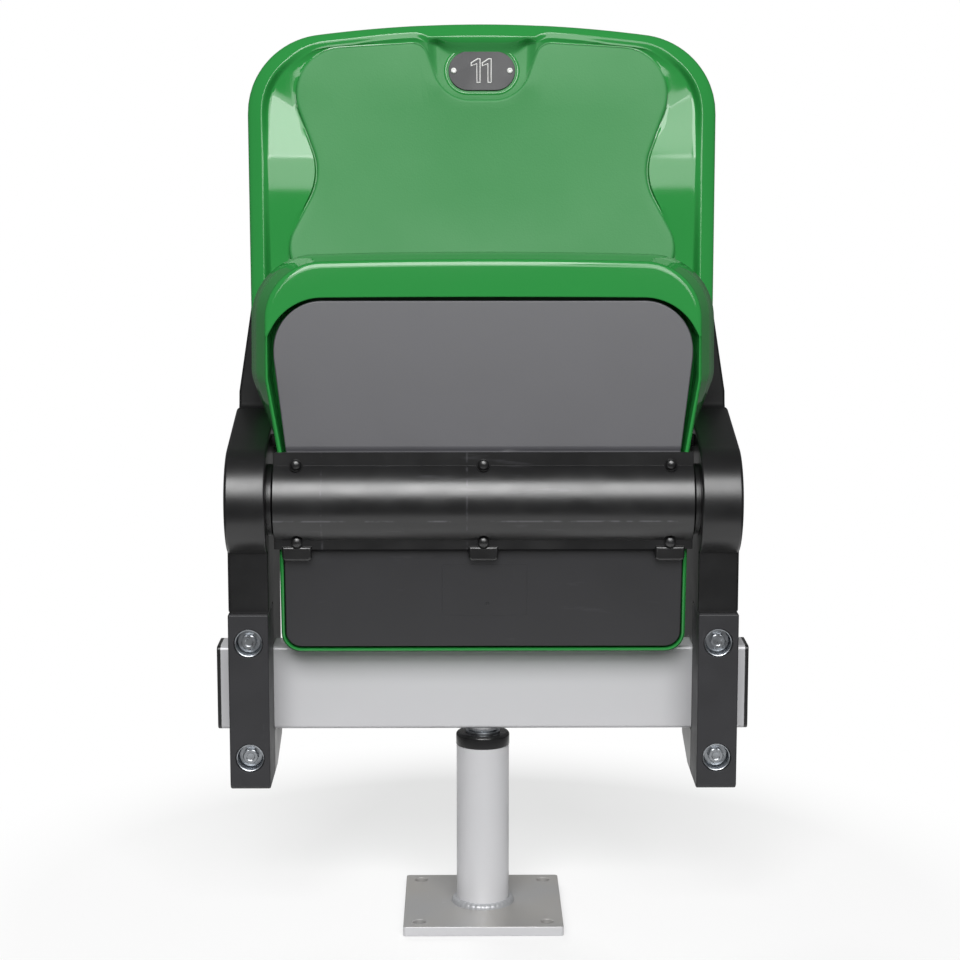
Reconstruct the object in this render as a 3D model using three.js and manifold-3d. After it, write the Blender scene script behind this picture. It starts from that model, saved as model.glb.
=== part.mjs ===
// A tip-up stadium seat on a swivelling post.
// Millimetres, +Z up. The origin is under the middle of the floor plate, the sitter faces -Y and
// +X is on the right of someone who stands in front of the seat. The seat is modelled tipped up.
import * as THREE from 'three';
import Module from 'manifold-3d';
import { mergeVertices } from 'three/addons/utils/BufferGeometryUtils.js';

const wasm = await Module();
wasm.setup();

// Fits
const clearance = 0.3;
const overrun = 6;

// Floor plate and post
const plateSide = 150;
const plateThickness = 9;
const plateCornerRadius = 3;
const anchorSpacing = 120;
const anchorHoleDiameter = 12;
const postDiameter = 50;
const postWall = 3;
const postLength = 156;
const postWeldWidth = 5;
const postWeldHeight = 5;

// Swivel
const shaftDiameter = 25;
const collarDiameter = 28;
const collarHeight = 5;
const beamWeldSize = 3;
const topBushFlange = 12;
const topBushProud = 0.4;
const topBushChamfer = 3;
const topBushSpigot = 30;
const lowerBushLength = 25;
const lowerBushDrop = 80;
const thrustWasherDiameter = 33;
const thrustWasherThickness = 2;
const clipDiameter = 34;
const clipThickness = 1.6;
const clipGrooveDepth = 1.2;
const shaftTail = 6;

// Beam
const beamHeight = 80;
const beamDepth = 40;
const beamOverhang = 13;
const beamWall = 3;
const beamCornerRadius = 4;
const endCapThickness = 3.5;
const endCapChamfer = 1;
const endCapPlug = 15;

// Side frames
const frameSpacing = 393;
const frameThickness = 37;
const discRadius = 51;
const axleForward = 47;
const axleRise = 144;
const footAboveBeam = 42;
const footBelowBeam = 43;
const clampDepth = 55;
const armSetback = 7;
const saddleDepth = 47;
const soleLength = 30;
const heelRise = 16;
const heelRadius = 5;
const slotRadius = 3;
const strutDepth = 80;
const strutBend = 70;
const shoulderRise = 74.5;
const shoulderSetback = 89;
const shoulderRadius = 20;
const elbowRadius = 7;
const armReach = 125;
const armElbow = 8;
const armThickness = 12.5;
const armTipRadius = 3;
const armTaperDelay = 30;
const armTaperOuter = 0.14;
const armTaperInner = 0.083;
const frameChamfer = 2;
const clampToeRadius = 6;
const clampChamfer = 1.5;

// Beam bolts
const boltDiameter = 8;
const upperBoltOffset = 15;
const lowerBoltOffset = 13;
const boltHeadWidth = 13;
const boltHeadHeight = 5.3;
const cupDiameter = 26;
const cupWall = 1.2;
const cupFloor = 2;
const cupDepth = 14;
const cupSeatDiameter = 22;
const cupSeatThickness = 4.5;
const cupRecessDepth = 16;
const nutThickness = 6.5;
const nutRecessDiameter = 17;
const nutRecessDepth = 9;

// Hinge
const axleDiameter = 16;
const pivotCapDiameter = 32;
const pivotCapThickness = 4;
const bushWall = 3;
const bushFlangeDiameter = 32;
const bushLength = 20;
const lugDiameter = 42;
const lugThickness = 18.5;
const springWire = 3.2;
const springRadius = 16;
const springTurns = 6;
const springPitch = 4;
const springLeg = 22;
const springCollarDiameter = 34;
const springCollarLength = 10;
const stopDiameter = 12;
const stopShankDiameter = 8;
const stopShankLength = 13;
const stopOverlap = 12;
const upStopRise = 50;
const downStopReach = 90;

// Seat pan. Lengths run along the seat from the axle: up for the front, down for the rear.
const seatFront = 221.5;
const seatRear = 142;
const seatHalfWidth = 213.5;
const hingeHalfWidth = 187;
const wingStart = 42;
const wingEnd = 111;
const seatCornerRadius = 58;
const seatRearRadius = 18;
const kneeRadius = 26;
const wingRadius = 20;
const sideDraft = 15.5;
const frontDraft = 5.5;
const hingeDraft = 1;
const seatSlope = 0.13;
const seatBlend = 46;
const undersideLevel = 17;
const frontCrest = 27;
const rearCrest = 13;
const rearTaperStart = 10;
const rimRoll = 7;
const rimCrestInset = 5;
const rimFootInset = 14;
const seatPadInset = 30;
const hingeDish = 3;
const frontDish = 11;
const dishGrowth = 100;
const seatSkin = 3.5;
const ridgeRound = 4;
const pocketFront = 184.5;
const pocketHalfWidth = 196;
const pocketShoulder = 150;
const pocketCornerReach = 178;
const pocketCornerRadius = 52;
const rimLip = 3;
const pocketDraft = 0.8;
const ribThickness = 3;
const ribPlaces = [82, 134, -92];

// Underside panels
const panelThickness = 3.5;
const panelProud = 1;
const panelFront = 182;
const panelHalfWidth = 190.5;
const panelShoulder = 132;
const panelCornerRadius = 44;
const panelFootHalfWidth = 179.5;
const panelBevel = 5;
const panelLipDrop = 1.8;
const panelLipReach = 16;
const panelRearGap = 0.8;
const lowerStrip = 11;
const lowerStripDrop = 5;

// Hinge cover
const barrelRadius = 40;
const coverHalfWidth = 190.7;
const coverWall = 3;
const coverFlangeLevel = 20.3;
const coverTopReach = 46.4;
const coverBottomReach = 42.7;
const tabDepth = 11.5;
const tabWidth = 30;
const tabCornerRadius = 4;
const tabThickness = 4;
const pinSpacing = 170;
const pinRise = 35.5;
const pinHeadDiameter = 10;
const pinHeadHeight = 6;
const pinShankDiameter = 5;
const pinShankLength = 8;
const pinRecessDiameter = 13;
const pinBossDiameter = 18;

// Back
const backLean = THREE.MathUtils.degToRad(12);
const backSetback = 92;
const backRise = 82;
const backHeight = 360;
const backHalfWidth = 226.5;
const backFootHalfWidth = 219;
const backCornerDrop = 16;
const backCornerRadius = 76;
const backFootRadius = 40;
const backCrownRadius = 1200;
const backCrownRise = 12;
const backFlange = 34;
const backLand = 20;
const backFlangeGrowth = 70;
const backWall = 4;
const crestInset = 9;
const crestRound = 7;
const valleyInset = 17;
const valleyDepth = 9;
const valleyWidth = 40;
const padEdge = 4;
const padRound = 9;
const padDish = 13;
const padLift = 1;

// The pad's outline on the right half, as shares of the back's half width and height, with corner
// radii as shares of the half width
const padCornerShares = [
  [0.76, 0.055, 0.16],
  [0.82, 0.4, 0.26],
  [0.675, 0.6, 0.26],
  [0.87, 0.93, 0.2],
  [0.25, 0.955, 0.07],
  [0.2, 0.782, 0.12],
];
const padTopShare = 0.788;
const coreWidthShare = 1.15;
const coreNarrowShare = 0.6;
const coreHeightShare = 0.7;
const coreBrimShare = 0.66;
const coreNotchShare = 0.2;
const padBottomShare = 0.05;
const padDeepShare = 0.42;

// Number plate
const numberPlateWidth = 64;
const numberPlateHeight = 38;
const numberPlateThickness = 1.5;
const numberPlateRiseShare = 0.877;
const rivetSpacing = 54;
const rivetHeadDiameter = 5.5;
const rivetHeadHeight = 1.5;
const rivetShankDiameter = 3;
const rivetShankLength = 5;

// Back screws
const backScrewInset = 17;
const backScrewRises = [60, 108];
const backScrewDiameter = 5;
const backScrewHeadDiameter = 11;
const backScrewHeadHeight = 3.5;
const backScrewBite = 8;

// Facet counts
const roundSteps = 24;
const smallSteps = 12;
const arcSteps = 4;

// Places that follow from the sizes above
const plateTop = plateThickness;
const beamTubeLength = frameSpacing + 2 * (frameThickness + beamOverhang);
const postTop = plateTop + postLength;
const washerBottom = postTop + topBushFlange;
const collarBottom = washerBottom + thrustWasherThickness + clearance;
const beamBottom = collarBottom + collarHeight;
const beamTop = beamBottom + beamHeight;
const beamFace = beamDepth / 2;
const postBore = postDiameter / 2 - postWall;
const lowerBushBottom = postTop - lowerBushDrop - lowerBushLength;
const axleY = -axleForward;
const axleZ = beamTop + axleRise;
const frameInner = frameSpacing / 2;
const frameOuter = frameInner + frameThickness;
const frameMiddle = frameInner + frameThickness / 2;
const clampFront = -beamFace - clampDepth;
const footTop = beamTop + footAboveBeam;
const footBottom = beamBottom - footBelowBeam;
const boltRises = [beamTop + upperBoltOffset, beamBottom - lowerBoltOffset];
const backY = axleY + backSetback;
const backZ = axleZ + backRise;
const numberPlateRise = numberPlateRiseShare * backHeight;
const axleBore = axleDiameter / 2 + clearance;
const bushRadius = axleBore + bushWall;
const pocketFootHalfWidth = hingeHalfWidth - hingeDraft - rimLip;

const group = new THREE.Group();
const turret = new THREE.Group();
const seat = new THREE.Group();
seat.position.set(0, axleY, axleZ);
const back = new THREE.Group();
back.position.set(0, backY, backZ);
back.rotation.x = -backLean;
group.add(turret, seat, back);

// Materials

function steel(color, roughness) {
  return new THREE.MeshStandardMaterial({ color, roughness, metalness: 1 });
}

function plastic(color, roughness) {
  return new THREE.MeshStandardMaterial({ color, roughness, metalness: 0 });
}

const paintedSteel = () => plastic(0xc6c6c8, 0.4);
const brightSteel = () => steel(0xb9bcbf, 0.3);
const greenPlastic = () => plastic(0x1f8a3c, 0.22);
const blackPlastic = () => plastic(0x232325, 0.45);
const panelPlastic = () => plastic(0x3a3a3d, 0.5);
const nylon = () => plastic(0x1a1a1b, 0.4);
const rubber = () => plastic(0x161616, 0.8);
const platePlastic = () => plastic(0x5c5c5f, 0.5);

// Shape helpers

function add(parent, name, geometry, material, x = 0, y = 0, z = 0) {
  const mesh = new THREE.Mesh(geometry, material);
  mesh.name = name;
  mesh.position.set(x, y, z);
  parent.add(mesh);
  return mesh;
}

// An indexed geometry with shared corners and no empty triangles
function welded(geometry) {
  const bare = geometry.clone();
  bare.deleteAttribute('normal');
  bare.deleteAttribute('uv');
  const merged = mergeVertices(bare);
  const index = merged.index.array;
  const kept = [];
  for (let i = 0; i < index.length; i += 3) {
    const [a, b, c] = [index[i], index[i + 1], index[i + 2]];
    if (a !== b && b !== c && c !== a) kept.push(a, b, c);
  }
  merged.setIndex(kept);
  return merged;
}

function solid(geometry) {
  const mesh = welded(geometry);
  return new wasm.Manifold(new wasm.Mesh({
    numProp: 3,
    vertProperties: new Float32Array(mesh.attributes.position.array),
    triVerts: new Uint32Array(mesh.index.array),
  }));
}

function geometryOf(manifold) {
  const mesh = manifold.getMesh();
  const geometry = new THREE.BufferGeometry();
  geometry.setAttribute('position', new THREE.BufferAttribute(new Float32Array(mesh.vertProperties), 3));
  geometry.setIndex(new THREE.BufferAttribute(new Uint32Array(mesh.triVerts), 1));
  return geometry;
}

function join(base, ...others) {
  return geometryOf(others.reduce((whole, other) => whole.add(solid(other)), solid(base)));
}

function cut(base, ...tools) {
  return geometryOf(tools.reduce((rest, tool) => rest.subtract(solid(tool)), solid(base)));
}

function overlapOf(first, second) {
  return geometryOf(solid(first).intersect(solid(second)));
}

// The same shape for the other side of the seat
function mirrored(geometry) {
  const copy = welded(geometry);
  copy.scale(-1, 1, 1);
  const index = copy.index.array;
  for (let i = 0; i < index.length; i += 3) {
    [index[i], index[i + 1]] = [index[i + 1], index[i]];
  }
  return copy;
}

function forEachPoint(geometry, change) {
  const places = geometry.attributes.position;
  const point = new THREE.Vector3();
  for (let i = 0; i < places.count; i += 1) {
    point.fromBufferAttribute(places, i);
    change(point);
    places.setXYZ(i, point.x, point.y, point.z);
  }
  return geometry;
}

// A turned shape about Z from [radius, height] pairs that run anticlockwise
function turned(profile, steps = roundSteps) {
  const points = profile.map(([radius, height]) => new THREE.Vector2(radius, height));
  return new THREE.LatheGeometry(points, steps).rotateX(Math.PI / 2);
}

function ring(profile, steps = roundSteps) {
  return turned([...profile, profile[0]], steps);
}

function rod(radius, length, steps = smallSteps) {
  return new THREE.CylinderGeometry(radius, radius, length, steps).rotateX(Math.PI / 2);
}

// A rod along X, Y or Z between two places on that axis
function rodAlong(axis, radius, from, to, steps = smallSteps) {
  const shape = rod(radius, Math.abs(to - from), steps);
  const middle = (from + to) / 2;
  if (axis === 'x') return shape.rotateY(Math.PI / 2).translate(middle, 0, 0);
  if (axis === 'y') return shape.rotateX(Math.PI / 2).translate(0, middle, 0);
  return shape.translate(0, 0, middle);
}

function block(x0, x1, y0, y1, z0, z1) {
  const shape = new THREE.BoxGeometry(x1 - x0, y1 - y0, z1 - z0);
  return shape.translate((x0 + x1) / 2, (y0 + y1) / 2, (z0 + z1) / 2);
}

// Corners are [across, up, radius, steps]; each is rounded by an arc that touches both sides
function rounded(corners) {
  const points = [];
  corners.forEach(([x, y, radius = 0, steps = arcSteps], i) => {
    const corner = new THREE.Vector2(x, y);
    const before = corners[(i + corners.length - 1) % corners.length];
    const after = corners[(i + 1) % corners.length];
    const back1 = new THREE.Vector2(before[0] - x, before[1] - y);
    const ahead = new THREE.Vector2(after[0] - x, after[1] - y);
    const room = Math.min(back1.length(), ahead.length());
    back1.normalize();
    ahead.normalize();
    const half = Math.acos(THREE.MathUtils.clamp(back1.dot(ahead), -1, 1)) / 2;
    const reach = Math.min(radius / Math.tan(half), room);
    const size = reach * Math.tan(half);
    if (radius === 0 || size === 0) {
      points.push(corner);
      return;
    }
    const middle = back1.clone().add(ahead).normalize().multiplyScalar(size / Math.sin(half)).add(corner);
    const start = back1.multiplyScalar(reach).add(corner).sub(middle);
    const end = ahead.multiplyScalar(reach).add(corner).sub(middle);
    const sweep = Math.atan2(start.cross(end), start.dot(end));
    for (let k = 0; k <= steps; k += 1) {
      points.push(start.clone().rotateAround(new THREE.Vector2(), sweep * k / steps).add(middle));
    }
  });
  return points;
}

// Right-hand corners from the bottom up, completed by their mirror images
function symmetric(rightCorners, bottom, top) {
  const left = rightCorners.map(([x, ...rest]) => [-x, ...rest]).reverse();
  return [bottom, ...rightCorners, top, ...left];
}

function prism(outline, depth, chamfer = 0) {
  return new THREE.ExtrudeGeometry(new THREE.Shape(outline), {
    depth: depth - 2 * chamfer,
    bevelEnabled: chamfer > 0,
    bevelThickness: chamfer,
    bevelSize: chamfer,
    bevelOffset: -chamfer,
    bevelSegments: 1,
    curveSegments: arcSteps,
  }).translate(0, 0, chamfer);
}

// An outline in Y and Z drawn out along X, centred on the middle
function acrossSeat(outline, width, chamfer = 0) {
  const axes = new THREE.Matrix4().makeBasis(
    new THREE.Vector3(0, 1, 0), new THREE.Vector3(0, 0, 1), new THREE.Vector3(1, 0, 0));
  return prism(outline, width, chamfer).translate(0, 0, -width / 2).applyMatrix4(axes);
}

// A closed body through rings of points, from one end point to the other
function ringBody(rings, first, last) {
  const count = rings[0].length;
  const points = [first, ...rings.flat(), last];
  const faces = [];
  for (let i = 0; i < count; i += 1) {
    const next = (i + 1) % count;
    faces.push(0, 1 + i, 1 + next);
    for (let k = 0; k + 1 < rings.length; k += 1) {
      const [a, b] = [1 + k * count + i, 1 + k * count + next];
      faces.push(a, a + count, b + count, a, b + count, b);
    }
    const end = 1 + (rings.length - 1) * count;
    faces.push(end + i, points.length - 1, end + next);
  }
  let volume = 0;
  for (let i = 0; i < faces.length; i += 3) {
    const [a, b, c] = [points[faces[i]], points[faces[i + 1]], points[faces[i + 2]]];
    volume += a.dot(b.clone().cross(c));
  }
  if (volume < 0) faces.reverse();
  const geometry = new THREE.BufferGeometry().setFromPoints(points);
  geometry.setIndex(faces);
  return geometry;
}

// Moves an anticlockwise outline outwards by a distance, or by one distance for each point
function offset(outline, distance) {
  return outline.map((point, i) => {
    const before = outline[(i + outline.length - 1) % outline.length];
    const after = outline[(i + 1) % outline.length];
    const along = after.clone().sub(before).normalize();
    const far = Array.isArray(distance) ? distance[i] : distance;
    return new THREE.Vector2(point.x + along.y * far, point.y - along.x * far);
  });
}

function between(first, second, share) {
  return first.map((point, i) => point.clone().lerp(second[i], share));
}

function shrunk(outline, centre, share) {
  return outline.map((point) => point.clone().sub(centre).multiplyScalar(share).add(centre));
}

// Adds points along the long sides of several outlines alike
function divided(outlines, spacing) {
  const counts = outlines[0].map((point, i) => {
    const after = outlines[0][(i + 1) % outlines[0].length];
    return Math.max(1, Math.round(point.distanceTo(after) / spacing));
  });
  return outlines.map((outline) => outline.flatMap((point, i) => {
    const after = outline[(i + 1) % outline.length];
    return Array.from({ length: counts[i] }, (_, k) => point.clone().lerp(after, k / counts[i]));
  }));
}

function smooth(share) {
  const t = THREE.MathUtils.clamp(share, 0, 1);
  return t * t * (3 - 2 * t);
}

// Pedestal

function floorPlate() {
  const half = plateSide / 2;
  const outline = rounded([
    [-half, -half, plateCornerRadius, 2], [half, -half, plateCornerRadius, 2],
    [half, half, plateCornerRadius, 2], [-half, half, plateCornerRadius, 2],
  ]);
  const shape = new THREE.Shape(outline);
  for (const x of [-anchorSpacing / 2, anchorSpacing / 2]) {
    for (const y of [-anchorSpacing / 2, anchorSpacing / 2]) {
      const hole = new THREE.Path();
      hole.absarc(x, y, anchorHoleDiameter / 2, 0, 2 * Math.PI, true);
      shape.holes.push(new THREE.Path(hole.getPoints(smallSteps / 2)));
    }
  }
  return new THREE.ExtrudeGeometry(shape, { depth: plateThickness, bevelEnabled: false });
}

function tube(outer, bore, length) {
  return ring([[bore, 0], [outer, 0], [outer, length], [bore, length]]);
}

// A convex bead round a shaft, flat at the bottom
function weldBead(radius, width, height) {
  const inner = radius + clearance;
  const shoulderShare = 0.6;
  return ring([
    [inner, 0], [radius + width, 0], [radius + width, height * (1 - shoulderShare)],
    [radius + width * shoulderShare, height * (1 - shoulderShare / 4)], [inner, height],
  ]);
}

function topBush() {
  const bore = shaftDiameter / 2 + clearance;
  const spigot = postBore - clearance;
  const flange = postDiameter / 2 + topBushProud;
  return ring([
    [bore, -topBushSpigot], [spigot, -topBushSpigot], [spigot, 0], [flange, 0],
    [flange, topBushFlange - topBushChamfer], [flange - topBushChamfer, topBushFlange],
    [bore, topBushFlange],
  ]);
}

function swivelShaft() {
  const radius = shaftDiameter / 2;
  const grooveTop = lowerBushBottom;
  const grooveBottom = grooveTop - clipThickness - 2 * clearance;
  const bottom = grooveBottom - shaftTail;
  return turned([
    [0, bottom], [radius, bottom], [radius, grooveBottom], [radius - clipGrooveDepth, grooveBottom],
    [radius - clipGrooveDepth, grooveTop], [radius, grooveTop], [radius, collarBottom],
    [collarDiameter / 2, collarBottom], [collarDiameter / 2, beamBottom], [0, beamBottom],
  ]);
}

function addPedestal() {
  add(group, 'base_plate', floorPlate(), paintedSteel());
  add(group, 'column_tube', tube(postDiameter / 2, postBore, postLength), paintedSteel(), 0, 0, plateTop);
  add(group, 'column_weld', weldBead(postDiameter / 2, postWeldWidth, postWeldHeight),
    paintedSteel(), 0, 0, plateTop);
  add(group, 'top_bush', topBush(), nylon(), 0, 0, postTop);
  const bushBore = shaftDiameter / 2 + clearance;
  add(group, 'lower_bush', tube(postBore - clearance, bushBore, lowerBushLength), nylon(),
    0, 0, lowerBushBottom);
  add(group, 'thrust_washer', tube(thrustWasherDiameter / 2, bushBore, thrustWasherThickness),
    brightSteel(), 0, 0, washerBottom);
}

// Shaft and beam

function beamOutline(inset) {
  const [y, z] = [beamFace - inset, beamHeight / 2 - inset];
  const radius = Math.max(beamCornerRadius - inset, beamCornerRadius / 4);
  return rounded([[-y, -z, radius], [y, -z, radius], [y, z, radius], [-y, z, radius]]);
}

function beamTube() {
  const whole = acrossSeat(beamOutline(0), beamTubeLength);
  return cut(whole, acrossSeat(beamOutline(beamWall), beamTubeLength + overrun));
}

function beamCap() {
  const plate = acrossSeat(beamOutline(0), endCapThickness, endCapChamfer);
  const plug = acrossSeat(beamOutline(beamWall + clearance), endCapPlug + endCapThickness / 2);
  return join(plate, plug.translate(-endCapPlug / 2 - endCapThickness / 4, 0, 0));
}

function addBeam() {
  add(turret, 'swivel_shaft', swivelShaft(), brightSteel());
  const clipBore = shaftDiameter / 2 - clipGrooveDepth + clearance;
  add(turret, 'shaft_clip', tube(clipDiameter / 2, clipBore, clipThickness), brightSteel(),
    0, 0, lowerBushBottom - clearance - clipThickness);
  const bead = weldBead(collarDiameter / 2, beamWeldSize, beamWeldSize).rotateX(Math.PI);
  add(turret, 'beam_weld', bead, paintedSteel(), 0, 0, beamBottom);
  const beamMiddle = beamBottom + beamHeight / 2;
  add(turret, 'beam', beamTube(), paintedSteel(), 0, 0, beamMiddle);
  const capPlace = beamTubeLength / 2 + endCapThickness / 2;
  add(turret, 'beam_cap_right', beamCap(), blackPlastic(), capPlace, 0, beamMiddle);
  add(turret, 'beam_cap_left', mirrored(beamCap()), blackPlastic(), -capPlace, 0, beamMiddle);
}

// Side frames

// A place on the back, given along it and out of its face, in Y and Z
function onBack(along, out) {
  return [
    backY + along * Math.sin(backLean) - out * Math.cos(backLean),
    backZ + along * Math.cos(backLean) + out * Math.sin(backLean),
  ];
}

function frameOutline() {
  const armFront = clampFront + armSetback;
  // The slope from the shoulder meets the disc where it just touches it
  const discStart = Math.atan2(shoulderRise, shoulderSetback)
    + Math.acos(discRadius / Math.hypot(shoulderRise, shoulderSetback));
  const discEnd = 2 * Math.PI - Math.acos((armFront - axleY) / discRadius);
  const disc = new THREE.EllipseCurve(axleY, axleZ, discRadius, discRadius, discStart, discEnd)
    .getPoints(smallSteps).map(({ x, y }) => [x, y]);
  const heel = beamFace + saddleDepth;
  const slotTop = beamTop + clearance;
  const slotBottom = beamBottom - clearance;
  const behindShell = -backLand - clearance;
  return rounded([
    [-beamFace, footBottom],
    [-beamFace + soleLength, footBottom, soleLength / 2],
    [heel, footBottom + heelRise, heelRadius],
    [heel, footTop, strutBend],
    [axleY + strutDepth + strutBend * 0.64, axleZ + discRadius / 2, strutBend],
    [...onBack(armReach, behindShell - armThickness), armTipRadius, 2],
    [...onBack(armReach, behindShell), armTipRadius, 2],
    [...onBack(-armElbow, behindShell), elbowRadius, 3],
    [axleY + shoulderSetback, axleZ + shoulderRise, shoulderRadius, 3],
    ...disc,
    [armFront, footTop + clearance],
    [-beamFace, footTop + clearance],
    [-beamFace, slotTop],
    [beamFace + clearance, slotTop, slotRadius, 2],
    [beamFace + clearance, slotBottom, slotRadius, 2],
    [-beamFace, slotBottom],
  ]);
}

// The arm above the disc narrows towards the back: its faces lean inwards as they rise
function taperArm(geometry, innerStart, outerStart) {
  return forEachPoint(geometry, (point) => {
    const inner = Math.max(0, point.z - innerStart) * armTaperInner;
    const outer = Math.max(0, point.z - outerStart) * armTaperOuter;
    point.x -= THREE.MathUtils.lerp(inner, outer, (point.x - frameInner) / frameThickness);
  });
}

// Hole for a rod along X in the inner or outer face
function crossHole(radius, from, to, y, z, steps = smallSteps) {
  return rodAlong('x', radius, from, to, steps).translate(0, y, z);
}

function stopPlaces() {
  const slope = Math.atan(seatSlope);
  const stand = (stopDiameter / 2 + clearance) / Math.cos(slope);
  const up = { y: crestBehind(upStopRise) + stand, z: upStopRise };
  const down = { y: downStopReach, z: crestBehind(-downStopReach) + stand };
  return { up, down };
}

function sideFrame() {
  const innerStart = axleZ + upStopRise + stopDiameter / 2 + clearance;
  const outerStart = innerStart + armTaperDelay;
  const whole = acrossSeat(frameOutline(), frameThickness, frameChamfer).translate(frameMiddle, 0, 0);
  const reach = backY + backHeight;
  const slice = (z0, z1) => {
    const space = block(frameInner - overrun, frameOuter + overrun, -reach, reach, z0, z1);
    return taperArm(overlapOf(whole, space), innerStart, outerStart);
  };
  const end = outerStart + reach;
  const body = join(slice(0, innerStart), slice(innerStart, outerStart), slice(outerStart, end));
  const stops = stopPlaces();
  const stopHole = stopShankDiameter / 2 + clearance;
  const holeEnd = frameInner + stopShankLength + clearance;
  const tools = [
    crossHole(axleBore, frameInner - overrun, frameOuter + overrun, axleY, axleZ, roundSteps),
    crossHole(pivotCapDiameter / 2 + clearance, frameOuter - pivotCapThickness, frameOuter + overrun,
      axleY, axleZ, roundSteps),
    crossHole(stopHole, frameInner - overrun * 2, holeEnd, axleY + stops.up.y, axleZ + stops.up.z),
    crossHole(stopHole, frameInner - overrun * 2, holeEnd, axleY + stops.down.y, axleZ + stops.down.z),
  ];
  const heel = beamFace + saddleDepth;
  for (const rise of boltRises) {
    const shank = rodAlong('y', boltDiameter / 2 + clearance, -beamFace - overrun, heel + overrun);
    const pocket = rodAlong('y', nutRecessDiameter / 2, heel - nutRecessDepth, heel + overrun * 4);
    tools.push(shank.translate(frameMiddle, 0, rise), pocket.translate(frameMiddle, 0, rise));
  }
  const far = armThickness + strutDepth;
  const screwHole = rodAlong('y', backScrewDiameter / 2 + clearance, -overrun, far);
  const headHole = rodAlong('y', backScrewHeadDiameter / 2 + clearance, armThickness + clearance, far);
  for (const rise of backScrewRises) {
    for (const hole of [screwHole, headHole]) {
      const tool = hole.clone().translate(backScrewAcross(rise), backLand, rise);
      tools.push(tool.rotateX(-backLean).translate(0, backY, backZ));
    }
  }
  return cut(body, ...tools);
}

function clamp() {
  const rear = -beamFace - clearance;
  const outline = rounded([
    [clampFront, footBottom, clampToeRadius, 3], [rear, footBottom],
    [rear, footTop], [clampFront, footTop, clampChamfer, 1],
  ]);
  const body = acrossSeat(outline, frameThickness, clampChamfer).translate(frameMiddle, 0, 0);
  const tools = boltRises.flatMap((rise) => {
    const shank = rodAlong('y', boltDiameter / 2 + clearance, clampFront - overrun, rear + overrun);
    const recess = rodAlong('y', cupDiameter / 2 + clearance, clampFront - overrun,
      clampFront + cupRecessDepth, roundSteps);
    return [shank.translate(frameMiddle, 0, rise), recess.translate(frameMiddle, 0, rise)];
  });
  return cut(body, ...tools);
}

// Turned parts for the bolts point along -Y, with their height towards the front
function facingFront(geometry) {
  return geometry.rotateX(Math.PI / 2);
}

function cupWasher() {
  const [outer, seatRadius] = [cupDiameter / 2, cupSeatDiameter / 2];
  return facingFront(ring([
    [boltDiameter / 2 + clearance, 0], [outer, 0], [outer, cupDepth], [outer - cupWall, cupDepth],
    [outer - cupWall, cupFloor], [seatRadius, cupFloor], [seatRadius, cupSeatThickness],
    [boltDiameter / 2 + clearance, cupSeatThickness],
  ], roundSteps));
}

function hexagon(width, height, steps = 6) {
  return rod(width / 2 / Math.cos(Math.PI / 6), height, steps).translate(0, 0, height / 2);
}

function clampBolt(length) {
  const shank = rod(boltDiameter / 2, length + boltHeadHeight / 2);
  shank.translate(0, 0, boltHeadHeight / 2 - (length + boltHeadHeight / 2) / 2);
  return facingFront(join(hexagon(boltHeadWidth, boltHeadHeight), shank));
}

function clampNut() {
  const bore = rod(boltDiameter / 2 + clearance, nutThickness + overrun).translate(0, 0, nutThickness / 2);
  return facingFront(cut(hexagon(boltHeadWidth, nutThickness), bore));
}

function addFrames() {
  const right = sideFrame();
  add(turret, 'side_frame_right', right, blackPlastic());
  add(turret, 'side_frame_left', mirrored(right), blackPlastic());
  const block1 = clamp();
  add(turret, 'clamp_right', block1, blackPlastic());
  add(turret, 'clamp_left', mirrored(block1), blackPlastic());
  const washerPlace = clampFront + cupRecessDepth;
  const headPlace = washerPlace - cupSeatThickness;
  const nutPlace = beamFace + saddleDepth - nutRecessDepth + nutThickness;
  let number = 1;
  for (const x of [-frameMiddle, frameMiddle]) {
    for (const z of boltRises) {
      add(turret, `cup_washer_${number}`, cupWasher(), brightSteel(), x, washerPlace, z);
      add(turret, `clamp_bolt_${number}`, clampBolt(nutPlace - headPlace), brightSteel(), x, headPlace, z);
      add(turret, `clamp_nut_${number}`, clampNut(), brightSteel(), x, nutPlace, z);
      number += 1;
    }
  }
}

// Stops, axle and springs

function stopPin() {
  const [sleeve, shank] = [stopDiameter / 2, stopShankDiameter / 2];
  const inner = frameInner - hingeHalfWidth + stopOverlap - clearance;
  return turned([
    [0, 0], [sleeve, 0], [sleeve, inner], [shank, inner],
    [shank, inner + stopShankLength], [0, inner + stopShankLength],
  ], smallSteps).rotateY(Math.PI / 2);
}

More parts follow.
